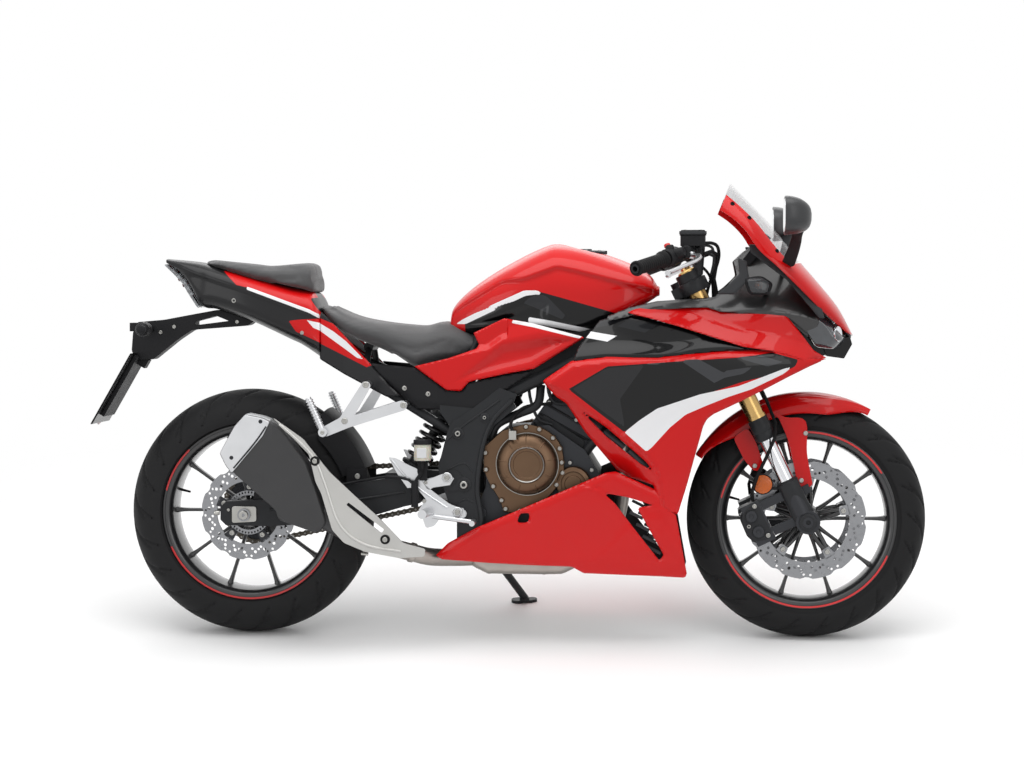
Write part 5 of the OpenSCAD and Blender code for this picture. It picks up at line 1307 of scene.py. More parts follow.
def add_chain():
    """The chain: side plates, rollers and pins, link by link."""
    s = Shape()
    pins = chain_path()
    for k in range(len(pins)):
        p, q = pins[k], pins[(k + 1) % len(pins)]
        d = (q - p) / np.linalg.norm(q - p)
        n = np.array([-d[1], d[0]])
        y = 5.4 if k % 2 else 7.2
        outline = []
        for t in np.linspace(0, 1, 9):
            half = 7.4 - 2.4 * math.sin(math.pi * t)
            outline.append(p + (q - p) * t + n * half)
        other = [2 * (p + (q - p) * t) - o for t, o in zip(np.linspace(0, 1, 9), outline)]
        link = [*outline, q + d * 6.5, *other[::-1], p - d * 6.5]
        for low in (CHAIN_Y - y - 1.8, CHAIN_Y + y):
            s.plate(link, low, low + 1.8)
        s.rod((p[0], CHAIN_Y - 9.8, p[1]), (p[0], CHAIN_Y + 9.8, p[1]), 3.0, slot=1, steps=10)
        s.rod((p[0], CHAIN_Y - 5.2, p[1]), (p[0], CHAIN_Y + 5.2, p[1]), 5.2, slot=1, steps=12)
    s.piece("drive_chain_links", "chassis", [chain_metal, zinc], sharp=35, replaces=["chain"],
            slot="chain_steel")


add_sprocket()
add_chain()

# ---------- frame, engine and exhaust ----------


def swell(s, outline, levels, slot=0):
    """A pillow-edged body: the outline at each (y, scale) about its middle."""
    o = np.array(outline, float)
    mid = (o.min(axis=0) + o.max(axis=0)) / 2
    rows = [[(*(mid + (p - mid) * k), y) for p in o] for y, k in levels]
    rows = [[(x, y, z) for x, z, y in row] for row in rows]
    return s.grid(rows, slot, ring=True, caps=True)


FRAME_LINE = curve([(-61, 634), (-110, 596), (-156, 563), (-184, 541), (-205, 470), (-213, 424), (-182, 330),
                    (-167, 298), (-168, 250), (-160, 236), (-138, 233), (-118, 250), (-111, 306), (-121, 384),
                    (-107, 478), (-82, 540), (-30, 592), (-18, 618)], 5)


def add_frame_plates():
    """The pressed side plates of the frame, with their ridges, and the bolts through them."""
    s = Shape()
    s.plate(FRAME_LINE, -149, -145)
    ridge = curve([(-28, 604), (-78, 552), (-104, 484), (-117, 384), (-107, 306), (-117, 256)], 6)
    s.tube([(x, -147.5, z) for x, z in ridge], 6.5, sides=12, n=1)
    s.tube([(x, -148.5, z) for x, z in curve([(-196, 500), (-150, 540), (-96, 578), (-60, 604)], 4)], 3,
           sides=8, n=1)
    for line in ([(-190, 430), (-150, 446), (-128, 424)], [(-176, 340), (-146, 356), (-126, 348)],
                 [(-172, 318), (-140, 330)]):
        s.tube([(x, -148.6, z) for x, z in line], 2.2, sides=8, n=4)
    s.mirror()
    s.piece("frame_side_plates", "chassis", satin, bevel=0.9, sharp=40, slot="frame_steel")
    s = Shape()
    for x, z, r in [(-165, 520, 9), (-150, 392, 12), (-138, 246, 8), (-98, 560, 6)]:
        s.turned([(r + 6, 0), (r + 6, 2), (r + 4, 3.4), (r, 3.6), (r, 6), (r - 1.5, 7.4), (0, 7.4), (0, 0)],
                 (x, -148.8, z), (0, -1, 0), slot=1, steps=40)
        s.bolt((x, -154, z), (0, -1, 0), r * 0.8, 5)
    s.mirror()
    s.piece("frame_bolts", "chassis", [zinc, satin], bevel=0.3)


CLUTCH = (8, 444)
FLANGE = curve([(-104, 484), (-99, 418), (-64, 355), (-44, 322), (24, 330), (93, 400), (99, 440), (90, 493),
                (55, 528), (4, 542), (-56, 527)], 6)


def add_engine_covers():
    """The clutch and stator covers, with the machined ring on the clutch cover."""
    s = Shape()
    swell(s, FLANGE, [(-112.4, 0.995), (-126, 1.0), (-129.5, 0.985)])
    x, z = CLUTCH
    s.turned([(84, 0), (84, 10), (82, 13), (78, 14), (77.5, 22), (76, 33), (72, 42), (64, 49), (52, 54),
              (46.5, 55.5), (45, 58.5), (43, 59.5), (41, 58.5), (40, 54.5), (34, 54), (33, 51.5), (22, 51),
              (0, 51)], (x, -115, z), (0, -1, 0), steps=120)
    for k in range(9):
        a = math.tau * (k + 0.3) / 9
        c, q = math.cos(a), math.sin(a)
        s.tube([(x + r * c, -115 - h, z + r * q) for r, h in [(50, 53.4), (58, 51), (68, 45.5), (74, 38),
                                                              (77, 26)]], 1.7, sides=8, n=3)
    s.turned([(44, 0), (44, 12), (41, 18), (31, 21), (30, 18), (22, 18), (20, 21), (0, 21)], (122, -114, 394),
             (0, -1, 0), steps=80)
    s.mirror()
    s.piece("clutch_and_stator_covers", "chassis", bronze, bevel=0.6, sharp=35, replaces=["engine_covers"],
            slot="bronze_alloy")
    s = Shape()
    s.turned([(45.3, 57.8), (43.2, 60.4), (41, 58.9), (40.2, 55), (45.3, 54)], (x, -115, z), (0, -1, 0),
             steps=120, closed=True)
    s.turned([(77.2, 30), (78.4, 30), (78.6, 27), (77.6, 24)], (x, -115, z), (0, -1, 0), steps=120,
             closed=True)
    s.piece("clutch_cover_machined_ring", "chassis", zinc, sharp=60)


def add_engine_bolts():
    """Bolts round the engine covers, with the clutch arm and its hose."""
    x, z = CLUTCH
    s = Shape()
    for k in range(15):
        p = FLANGE[int((k + 0.3) * len(FLANGE) / 15)]
        c = np.array([2, 436])
        p = c + (np.array(p) - c) * 0.945
        s.turned([(7.6, 0), (7.6, 6), (6.6, 8), (0, 8)], (p[0], -125, p[1]), (0, -1, 0), slot=1, steps=24)
        s.bolt((p[0], -132, p[1]), (0, -1, 0), 5.2, 4.5)
    for px, pz in [(114, 447), (168, 429), (150, 380), (96, 372)]:
        s.bolt((px, -127, pz), (0, -1, 0), 5, 6)
    s.mirror()
    s.block((x - 44, -172, z + 62), (x - 26, -150, z + 84), slot=0)
    s.tube([(x - 34, -160, z + 80), (x - 40, -150, z + 104), (x - 10, -118, z + 140),
            (x + 60, -100, z + 150)], 4, slot=2)
    s.tube([(x - 18, -160, z + 44), (x - 34, -158, z + 70)], 8, slot=1)
    s.piece("engine_bolts", "chassis", [zinc, bronze, rubber], bevel=0.3)


def add_engine_ribs():
    """Ribs, joints, hoses and bolts of the cylinders and the head."""
    s = Shape()
    for y in (-1, 1):
        for k in range(6):
            t = (k + 0.6) / 6.4
            a = np.array([6, 530]) * (1 - t) + np.array([110, 680]) * t
            b = np.array([150, 462]) * (1 - t) + np.array([232, 600]) * t
            s.rod((a[0] + 5, y * 86, a[1]), (b[0] - 5, y * 86, b[1]), 3.4, steps=10)
        s.plate(rounded([(106, 668), (138, 700), (160, 706), (244, 660), (248, 642), (228, 604)], 8),
                *sorted((y * 92, y * 97)))
        s.plate(rounded([(16, 524), (46, 566), (150, 500), (142, 470)], 6), *sorted((y * 86, y * 95)))
        for px, pz in [(60, 596), (128, 552), (92, 640), (196, 606)]:
            s.rod((px, y * 84, pz), (px, y * 93, pz), 8, steps=20)
    s.tube([(-86, -104, 500), (-70, -112, 540), (-20, -110, 566), (30, -104, 590), (40, -98, 640)], 11)
    s.tube([(150, -96, 470), (176, -104, 500), (214, -110, 520), (280, -104, 540), (306, -90, 560)], 12)
    s.tube([(60, -96, 700), (20, -96, 668), (-30, -92, 640), (-60, -88, 600)], 14)
    s.tube([(100, -98, 706), (60, -104, 650), (70, -104, 600), (110, -102, 590)], 5)
    s.tube([(40, -100, 702), (10, -108, 640), (30, -108, 560), (70, -104, 540)], 4)
    s.piece("engine_ribs_and_hoses", "chassis", satin, bevel=0.8, sharp=40, slot="cast_black")
    s = Shape()
    for y in (-1, 1):
        for px, pz in [(60, 596), (128, 552), (92, 640), (196, 606), (124, 680), (236, 646), (160, 694)]:
            s.bolt((px, y * 96, pz), (0, y, 0), 5, 3.4)
    s.tube([(-20, -108, 560), (-16, -112, 566), (-12, -108, 572)], 5)
    s.tube([(196, -106, 514), (202, -111, 520), (208, -106, 526)], 5)
    s.piece("engine_small_bolts", "chassis", zinc)


def add_exhaust():
    """The header pipes, the box under the engine, the link pipe and its clamp."""
    s = Shape()
    for y in (-1, 1):
        s.tube([(226, y * 48, 636), (252, y * 47, 596), (260, y * 46, 556), (248, y * 43, 420),
                (234, y * 40, 310), (200, y * 38, 250), (124, y * 34, 204)], 17.5, sides=24)
    rows = []
    for px, low, high, half in [(-146, 186, 214, 40), (-140, 178, 222, 60), (-128, 172, 226, 74),
                                (-104, 161, 228, 80), (-98, 158, 228, 80.5), (-94, 157, 229, 81.5),
                                (-88, 158, 228, 80.5), (40, 157, 228, 80.5), (46, 156, 229, 81.5),
                                (52, 157, 228, 80.5), (88, 158, 228, 79), (100, 162, 227, 76),
                                (128, 176, 224, 66), (142, 188, 220, 54)]:
        rows.append([(px, half * blunt(math.cos(a), 0.45),
                      (low + high) / 2 + (high - low) / 2 * blunt(math.sin(a), 0.45))
                     for a in angles(48)])
    s.grid(rows, ring=True, caps=True)
    s.tube([(-128, -40, 200), (-180, -72, 202), (-236, -118, 208), (-280, -150, 222), (-340, -168, 240),
            (-412, -184, 264)], 22, sides=28)
    for at, to in [((-274, -147, 220), (-286, -152, 224)), ((-386, -178, 255), (-402, -182, 261))]:
        s.rod(at, to, 25, steps=40, edge=2)
    s.piece("exhaust_pipes_and_box", "chassis", pipe_steel, sharp=40, replaces=["exhaust_pipe"],
            slot="exhaust_steel")
    s = Shape()
    s.tube([(-392, -202, 252), (-394, -200, 232), (-394, -180, 226), (-392, -166, 236)], 3.4)
    s.rod((-402, -196, 224), (-384, -196, 222), 5, steps=6)
    s.bolt((-394, -206, 240), (0, -1, 0), 7, 8)
    s.piece("exhaust_clamp", "chassis", zinc, bevel=0.3)


MUFFLER = rounded([(-719, 424), (-744, 470), (-712, 539), (-686, 566), (-622, 554), (-600, 540), (-534, 450),
                   (-506, 372), (-484, 300), (-510, 274), (-604, 306), (-612, 330)], 9)
CAP = rounded([(-752, 472), (-736, 502), (-714, 541), (-686, 571), (-645, 563), (-623, 553), (-641, 517),
               (-722, 421), (-738, 443)], 5)
GUARD = rounded([(-617, 562), (-541, 509), (-476, 428), (-424, 379), (-357, 319), (-293, 253), (-238, 239),
                 (-241, 220), (-304, 216), (-388, 231), (-441, 253), (-470, 285), (-496, 373), (-511, 404),
                 (-527, 471)], 6)


def add_muffler():
    """The muffler shell and its end cap."""
    s = Shape()
    swell(s, MUFFLER, [(-149.5, 0.90), (-151, 0.95), (-156, 0.985), (-164, 1.0), (-196, 1.002), (-212, 0.998),
                       (-219, 0.98), (-222.4, 0.94), (-222.6, 0.6)])
    s.tube([(-510, -190, 318), (-460, -187, 290), (-400, -184, 258)], 25.6, sides=28)
    s.piece("muffler_shell", "chassis", muffler_black, bevel=0.8, sharp=38, replaces=["muffler"],
            slot="muffler_steel")
    s = Shape()
    swell(s, CAP, [(-147.5, 0.93), (-150, 0.985), (-156, 1.0), (-214, 1.0), (-221, 0.985), (-225, 0.95),
                   (-225.4, 0.7)])
    s.tube([(-742, -206, 462), (-728, -208, 490), (-704, -208, 530), (-684, -206, 556)], 3.2, sides=8)
    s.tube([(-716, -224, 436), (-662, -224.5, 500), (-634, -224, 540)], 2.6, slot=1, sides=8)
    s.turned([(17, -2), (19, 0), (19, 6), (15, 6), (14, -2), (14, -30), (0, -30)], (-722, -186, 520),
             unit([-0.86, 0, 0.5]), steps=48, slot=1)
    for px, pz in [(-735, 462), (-640, 552)]:
        s.bolt((px + (14 if pz < 500 else -8), -224.5, pz), (0, -1, 0), 5, 3.2, slot=1)
    s.piece("muffler_end_cap", "chassis", [alloy, alloy_dark], bevel=1.2, sharp=30)


def add_heat_guard():
    """The slotted guard over the muffler, with its bolts."""
    high_end, low_end = np.array([(-432, 350), (-344, 282)])
    way = unit(low_end - high_end)
    across = np.array([-way[1], way[0]])
    slot_hole = rounded([high_end + across * 4, low_end + across * 6, low_end - across * 6,
                         high_end - across * 4], 3)
    s = Shape()
    s.plate(GUARD, -228.2, -222.2, holes=[slot_hole[::-1]])
    rib = [(-600, 546), (-520, 470), (-488, 400), (-452, 300), (-392, 250), (-300, 232)]
    s.tube([(px, -227.6, pz) for px, pz in rib], 4, sides=10)
    s.piece("muffler_heat_guard", "chassis", guard_silver, bevel=1.6, sharp=40, replaces=["muffler_guard"],
            slot="guard_steel")
    s = Shape()
    for px, pz in [(-338, 262), (-512, 455)]:
        s.turned([(12, 0), (12, 3), (10, 5), (7, 5), (7, 3.4), (0, 3.4)], (px, -227.8, pz), (0, -1, 0),
                 slot=1, steps=40)
        s.bolt((px, -231.8, pz), (0, -1, 0), 6.4, 4)
    s.piece("heat_guard_bolts", "chassis", [zinc, rubber], bevel=0.3)


add_frame_plates()
add_engine_covers()
add_engine_bolts()
add_engine_ribs()
add_exhaust()
add_muffler()
add_heat_guard()

# ---------- footpeg brackets, rear brake pot, swingarm trim and shock ---


def add_heel_guards():
    """The footpeg brackets with their heel guards and bolts."""
    s = Shape()
    s.plate(rounded([(-338, 462), (-321, 457), (-262, 431), (-252, 398), (-228, 378), (-184, 345),
                     (-154, 334), (-152, 316), (-174, 312), (-207, 312), (-222, 290), (-244, 284),
                     (-258, 330), (-240, 354), (-268, 385), (-288, 386), (-314, 418)], 7), -165, -160.6)
    s.plate(rounded([(-252, 400), (-200, 421), (-186, 416), (-184, 402), (-222, 388), (-238, 378)], 6), -165,
            -160.6)
    s.tube([(-330, -166, 456), (-304, -166, 424), (-276, -166, 396), (-236, -166, 366), (-190, -166, 336)], 3,
           sides=8)
    s.mirror()
    s.piece("heel_guards", "chassis", alloy, bevel=1.2, sharp=35, slot="peg_alloy")
    s = Shape()
    for px, pz in [(-191, 411), (-165, 325)]:
        s.turned([(13, 0), (13, 2), (11, 3.2), (9.5, 2), (0, 2)], (px, -165, pz), (0, -1, 0), slot=1,
                 steps=40)
        s.bolt((px, -167.6, pz), (0, -1, 0), 7.4, 5)
    for px, pz in [(-244, 398), (-248, 352)]:
        s.bolt((px, -165, pz), (0, -1, 0), 5, 3)
    s.mirror()
    s.piece("heel_guard_bolts", "chassis", [zinc, alloy], bevel=0.3)


def add_rear_fluid_pot():
    """The rear brake fluid pot."""
    s = Shape()
    s.turned([(16, 0), (20.4, 1), (21.2, 6), (21.2, 40), (20, 42), (0, 42)], (-250, -182.3, 453.6), (0, 0, 1),
             slot=0, steps=48)
    s.turned([(22.6, 41), (22.6, 51), (21, 52.6), (8, 52.6), (7, 50), (0, 50)], (-250, -182.3, 453.6),
             (0, 0, 1), slot=1, steps=40)
    s.block((-262, -204.6, 462), (-238, -203.4, 486), slot=2)
    s.piece("rear_fluid_pot", "chassis", [cream, plastic, alloy], bevel=0.8, sharp=50)


def add_swingarm_parts():
    """Axle adjusters, and the ribs along the swingarm."""
    s = Shape()
    for y in (-1, 1):
        s.plate(rounded([(-736, 334), (-674, 334), (-674, 296), (-736, 292)], 6), *sorted((y * 138, y * 142)))
        s.turned([(15, 0), (15, 3), (12, 4), (12, 11), (10, 13), (4, 13), (4, 8), (0, 8)],
                 (RX, y * 141.6, RZ), (0, y, 0), steps=36)
        s.bolt((-772, y * 126, 316), (-1, 0, 0), 6, 12)
        s.bolt((-745, y * 138, 325), (0, y, 0), 4, 4)
    s.piece("axle_adjusters", "chassis", zinc, bevel=0.6, sharp=40)
    s = Shape()
    for y in (-1, 1):
        s.tube([(-300, y * 139, 372), (-440, y * 139.6, 350), (-640, y * 139.6, 326)], 3, sides=8)
    s.tube([(-640, -118, 388), (-668, -96, 352), (-690, -92, 336)], 2.6, sides=8)
    s.piece("swingarm_ribs", "chassis", satin)


def add_shock():
    """The rear shock absorber: spring, damper body and eyes."""
    s = Shape()
    low, high = np.array([-300.0, 0, 412.0]), np.array([-204.0, 0, 574.0])
    d = (high - low) / np.linalg.norm(high - low)
    u = np.array([0, 1.0, 0])
    v = np.cross(d, u)
    length = np.linalg.norm(high - low)
    coil = []
    for t in np.linspace(0.16, 0.84, 260):
        a = t / 0.68 * 6.5 * math.tau
        coil.append(low + d * length * t + 30 * (u * math.cos(a) + v * math.sin(a)))
    s.tube(coil, 5.5, sides=10, n=1)
    s.piece("shock_spring", "chassis", material("spring_paint", "#242426", 0.3, tone=0.1, coat_weight=0.5),
            slot="shock_steel")
    s = Shape()
    s.turned([(14, 0), (16, 12), (24, 14), (34, 16), (36, 22), (34, 26), (20, 28), (20, length * 0.5),
              (12, length * 0.52), (12, length * 0.84), (34, length * 0.85), (36, length * 0.88),
              (26, length * 0.92), (16, length * 0.94), (14, length)], low, d, steps=48)
    s.piece("shock_damper", "chassis", [satin], sharp=40, replaces=["rear_shock"])


add_heel_guards()
add_rear_fluid_pot()
add_swingarm_parts()
add_shock()

# ---------- front end: fork, brakes, bars and controls ---------


def fork_point(x, y, z):
    return fork([x, y, z])[0]


FORK_AXIS = fork_point(33, 0, 500) - fork_point(33, 0, 400)
FORK_AXIS = FORK_AXIS / np.linalg.norm(FORK_AXIS)


def add_fork_seals():
    """Dust seals, clamps and caps round the fork tubes."""
    s = Shape()
    for y in (-102, 102):
        for z0, profile in [(228, [(19.4, 0), (24.5, 1), (26.4, 6), (26.4, 20), (25.6, 22), (26.6, 24),
                                   (26.6, 40), (25.2, 44), (25.2, 58)]),
                            (690, [(24, -6), (24, 2), (21, 5), (13, 6), (12, 12), (9, 14), (0, 14)])]:
            s.turned(profile, fork_point(33, y, z0), FORK_AXIS, slot=0 if z0 == 228 else 1, steps=48)
        s.turned([(26, 100), (28, 104), (28, 112), (24, 116), (19.3, 117)], fork_point(33, y, 0), FORK_AXIS,
                 slot=0, steps=48)
        s.turned([(36, 418), (36, 421), (34.6, 422)], fork_point(33, y, 0), FORK_AXIS, slot=0, steps=48)
        s.turned([(34.6, 634), (36, 636), (36, 664), (34.6, 666), (26, 667)], fork_point(33, y, 0), FORK_AXIS,
                 slot=0, steps=48)
    s.piece("fork_seals_and_caps", "steering", [satin, gold], bevel=0.3)


def add_fork_legs():
    """The lower legs with their axle clamps and bolts."""
    s = Shape()
    for y in (-1, 1):
        foot_rows = []
        for z, half_x, half_y, x in [(-22, 15, 18, 37), (0, 25, 20, 36), (24, 29, 19, 34), (50, 27, 20, 33),
                                     (84, 27, 25, 33), (110, 27, 26, 33)]:
            foot_rows.append([fork_point(x + half_x * blunt(math.cos(a), 0.8),
                                         y * 104 + half_y * blunt(math.sin(a), 0.8), z)
                              for a in angles(32)])
        s.grid(curve([np.array(r).ravel() for r in foot_rows], 5).reshape(-1, 32, 3), ring=True, caps=True)
        s.turned([(0, 0), (20, 0), (22, 2), (22, 6), (18, 8), (13, 8), (12.6, 3), (0, 3)], (FX, y * 124, FZ),
                 (0, y, 0), steps=48)
    s.piece("fork_lower_legs", "steering", satin, bevel=0.4, sharp=45)


CALIPER = [(-138, 4), (-104, -4), (-88, 12), (-90, 94), (-104, 104), (-132, 98), (-150, 78), (-152, 30)]


def add_calipers():
    """The front brake calipers."""
    s = Shape()
    for y in (-1, 1):
        o = np.array(rounded([(x + 37, z) for x, z in CALIPER], 8))
        mid = o.mean(axis=0)
        rows = []
        for out, scale in ((72, 0.93), (75, 1.0), (109, 1.0), (115, 0.86)):
            rows.append([fork_point(px, y * out, pz) for px, pz in mid + (o - mid) * scale])
        s.grid(rows, ring=True, caps=True)
        for z in (30, 72):
            s.turned([(15, 0), (15, 5), (13, 7), (6, 7), (5, 5), (0, 5)], fork_point(-84, y * 114, z),
                     (0, y, 0), slot=1, steps=36)
        for z in (12, 92):
            s.bolt(fork_point(-66, y * 113, z), (0, y, 0), 6, 6, slot=2)
        s.bolt(fork_point(-100, y * 112, 52), (0, y, 0), 5, 5, slot=2)
    s.piece("front_brake_calipers", "steering", [satin, alloy_dark, zinc], bevel=0.8, sharp=40)


def add_fork_reflectors():
    """Side reflectors on the fork."""
    s = Shape()
    for y in (-1, 1):
        at = np.array([593.0, y * 104, 394.0])
        s.turned([(0, 8), (23, 8), (24, 9), (25.6, 9), (26, 6), (26, 0), (0, 0)], at, (0, y, 0), slot=1,
                 steps=64)
        s.turned([(0, 11.6), (16, 11.2), (22.6, 9.4), (23.4, 7), (0, 7)], at, (0, y, 0), slot=0, steps=64)
        near, far = sorted((y * 100, y * 108))
        s.block((598, near, 380), (640, far, 388), slot=1)
    s.piece("fork_reflectors", "steering", [amber, plastic], sharp=50)


BAR_IN, BAR_OUT = np.array([432.0, -128, 982]), np.array([278.0, -362, 926])
BAR = unit(BAR_OUT - BAR_IN)


def bar_at(t):
    """t mm in from the bar's end."""
    return BAR_OUT - BAR * t


SWITCH_AT = bar_at(156)


def add_grips():
    s = Shape()
    profile = [(11.3, 0), (17, 0), (18.6, 3), (18.6, 7), (17.2, 10)]
    for k in range(11):
        t = 13 + k * 8.6
        profile += [(16.4, t), (17.1, t + 1.4), (17.1, t + 5.4), (16.4, t + 6.8)]
    profile += [(16.6, 108), (20.6, 114), (21.4, 118), (20.6, 124), (11.3, 125)]
    s.turned(profile, bar_at(3), -BAR, steps=64, closed=True)
    s.mirror()
    s.piece("handlebar_grips", "steering", rubber, sharp=45, replaces=["grips"], slot="grip_rubber")


def add_switch_housings():
    s = Shape()
    s.turned([(11.4, 132), (20, 132), (22.5, 135), (22.5, 176), (20, 180), (16, 182), (16, 200), (11.4, 202)],
             bar_at(3), -BAR, steps=40, closed=True)
    s.rod(SWITCH_AT + (8, 0, 6), SWITCH_AT + (34, -12, 14), 15, 12, edge=3)
    s.rod(SWITCH_AT + (0, 0, 10), SWITCH_AT + (-2, 0, 30), 13, 10, edge=3)
    for a, b, r in [((398, -192, 962), (420, -186, 976), 15), ((404, -197, 954), (404, -197, 986), 15),
                    ((420, -190, 974), (430, -170, 980), 10)]:
        s.rod(a, b, r, edge=3)
    s.mirror()
    s.piece("switch_housings", "steering", plastic, bevel=0.8, sharp=45, replaces=["bar_controls"],
            slot="black_plastic")


def add_fluid_reservoir():
    s = Shape()
    lid = rounded([(382, -204), (446, -222), (452, -178), (392, -160)], 12)
    mid = np.mean(lid, axis=0)
    for z0, z1, grow, slot in [(984, 1010, 0.94, 0), (1010, 1013, 1.0, 0), (1013, 1021, 1.02, 1),
                               (1021, 1023.5, 0.9, 1)]:
        rows = []
        for z, q in ((z0, 0.97), (z0 + 0.6, 1), (z1 - 0.6, 1), (z1, 0.97)):
            rows.append([(*(mid + (np.array(p) - mid) * grow * q), z) for p in lid])
        s.grid(rows, slot, ring=True, caps=True)
    s.rod((414, -192, 962), (414, -192, 986), 9)
    for x, y in [(398, -196), (436, -188)]:
        s.bolt((x, y, 1023), (0, 0, 1), 3.4, 1.8, slot=2)
    s.piece("brake_fluid_reservoir", "steering", [plastic, plastic_soft, zinc], bevel=0.8, sharp=45)


def add_levers():
    s = Shape()
    start = np.array([414.0, -202, 962])
    lever = curve([start, start + (16, -22, -2), start + (14, -52, -12), start + (-14, -92, -26),
                   start + (-46, -132, -40), start + (-58, -148, -46)], 8)
    rows = []
    for i, p in enumerate(lever):
        d = unit(lever[min(i + 1, len(lever) - 1)] - lever[max(i - 1, 0)])
        u = unit(np.cross(d, [0, 0, 1]))
        v = np.cross(d, u)
        t = i / (len(lever) - 1)
        w = 9 - 3.5 * t + 3.5 * math.exp(-((t - 1) / 0.06) ** 2)
        deep = 4.6 + (w - 5.5) * 0.4
        rows.append([p + u * w * math.cos(a) + v * deep * math.sin(a) for a in angles(16)])
    s.grid(rows, ring=True, caps=True)
    s.rod(start + (0, 0, -9), start + (0, 0, 9), 8, edge=1.5)
    s.mirror()
    s.piece("brake_and_clutch_levers", "steering", alloy, sharp=50)


def add_stop_switch():
    s = Shape()
    s.rod(SWITCH_AT + (-6, 4, 24), SWITCH_AT + (-9, 5, 33), 8.5, 7.5, edge=2)
    s.piece("stop_switch", "steering", switch_red)


def add_cables():
    s = Shape()
    s.tube([(446, -178, 992), (464, -166, 992), (478, -148, 984), (482, -126, 960), (474, -104, 928),
            (460, -84, 894), (452, -76, 862)], 4.2, sides=10)
    s.tube([(440, 178, 992), (458, 166, 994), (472, 146, 984), (474, 120, 950), (464, 98, 906)], 3.6,
           sides=10)
    s.tube([(380, -168, 966), (410, -140, 950), (446, -110, 930), (466, -60, 900), (470, -40, 860)], 3.6,
           sides=10)
    s.piece("control_cables", "steering", rubber)


add_fork_seals()
add_fork_legs()
add_calipers()
add_fork_reflectors()
add_grips()
add_switch_housings()
add_fluid_reservoir()
add_levers()
add_stop_switch()
add_cables()

# ---------- cockpit, lamps and mirrors ----------

NOSE_TRIM = [(206, 812), (262, 834), (330, 850), (452, 858), (471, 860), (500, 884), (528, 915), (520, 950),
             (545, 974), (571, 990), (640, 936), (690, 880), (733, 822), (724, 770), (700, 762), (648, 806),
             (489, 822), (452, 834), (298, 828), (262, 812), (210, 800)]
FIN = [(474, 866), (520, 866), (556, 902), (550, 948), (528, 956), (532, 916), (500, 886)]
EDGE = [(555, 990), (576, 988), (650, 925), (736, 828), (742, 806), (728, 808), (648, 902), (560, 968)]


def add_cockpit_panels():
    """The side panels round the instruments, with the fins and the screen's edge strips on them."""
    def side_skin(x, z):
        return np.minimum(trim_w(x, z) - 0.5 * np.maximum(0, 850 - z), fairing_w(x, z) - 7)

    paint = material("cockpit_black", "#161617", 0.36, bump=0.1, grain=0.001, tone=0.1, coat_weight=0.5,
                     coat_roughness=0.12)
    s = Shape()
    s.sheet(cut(NOSE_TRIM), (196, 750, 744, 1000), side_skin, cell=5, wall=3, roll=3)
    s.mirror()
    s.piece("cockpit_side_panels", "chassis", paint, sharp=35, replaces=["cockpit_trim"],
            slot="black_plastic")
    s = Shape()
    s.sheet(cut(FIN), (464, 856, 566, 966), lambda x, z: trim_w(x, z) + 5, cell=4, wall=3, roll=3)
    s.sheet(cut(EDGE), (545, 796, 752, 1000), lambda x, z: trim_w(x, z) + 4, cell=4, wall=3, roll=3)
    s.mirror()
    s.piece("cockpit_fins", "chassis", plastic_soft, sharp=35)


LENS_EDGE = rounded([(559, 868), (546, 904), (586, 909), (611, 892), (601, 868)], 8)


def add_front_indicators():
    """Domed lenses in dark frames, with their bulbs."""
    s = Shape()
    mid = np.mean(LENS_EDGE, axis=0)
    for y in (-1, 1):
        for grow, depth, slot in ((1.16, 7, 1), (0.96, 15, 0)):
            rows = []
            for q, h in ((1.0, -4), (1.0, depth * 0.4), (0.93, depth * 0.8), (0.7, depth * 0.97),
                         (0.35, depth)):
                rows.append([(*(mid + (np.array(p) - mid) * grow * q), 0) for p in LENS_EDGE])
                rows[-1] = [(a, y * (trim_w(a, b) + h), b) for a, b, _ in rows[-1]]
            s.grid(rows, slot, ring=True, caps=True)
    s.piece("front_indicators", "chassis", [smoke_lens, plastic], sharp=50)
    s = Shape()
    for y in (-1, 1):
        s.turned([(0, 0), (11, 0), (8, 8), (0, 10)], (578, y * 164, 888), (0, y, 0), steps=32)
    s.piece("front_indicator_bulbs", "chassis", amber)


LAMP = rounded([(706, 800), (742, 820), (770, 797), (800, 757), (776, 728), (733, 733), (704, 774)], 8)


def add_headlights():
    """Hooded lenses over dark bowls, and the tube round them."""
    s = Shape()
    mid = np.mean(LAMP, axis=0)
    for y in (-1, 1):
        rows = []
        for yy, q, push in [(12, 0.9, 6), (30, 1.0, 4), (70, 1.0, 0), (96, 0.97, -8), (110, 0.88, -14),
                            (118, 0.7, -18)]:
            rows.append([(mid[0] + (p[0] - mid[0]) * q + push, y * yy,
                          mid[1] + (p[1] - mid[1]) * q) for p in LAMP])
        s.grid(rows, ring=True, caps=True)
    lens = material("headlight_glass", "#3c4045", 0.05, tone=0.25, tone_size=0.02, coat_weight=1.0)
    s.piece("headlight_lenses", "chassis", lens, bevel=1.2, sharp=35, replaces=["headlights"],
            slot="lamp_clear")
    s = Shape()
    for y in (-1, 1):
        for px, pz, yy, r in [(764, 776, 62, 24), (758, 762, 100, 16)]:
            s.turned([(0, -3), (r * 0.4, -2), (r * 0.8, 1), (r, 5), (r + 3, 6), (r + 3, 0), (r, -5), (0, -8)],
                     (px + 16, y * yy, pz + 6), unit([0.8, y * 0.5, 0.05]), steps=48)
    s.tube([(742, -100, 822), (780, -84, 800), (806, -60, 768), (812, 0, 757), (806, 60, 768), (780, 84, 800),
            (742, 100, 822)], 4, slot=1)
    s.piece("headlight_reflectors", "chassis", [mirror_glass, plastic_soft], bevel=0.4, sharp=40)


MIRROR_X, MIRROR_Y, MIRROR_Z = 656, 322, 1054


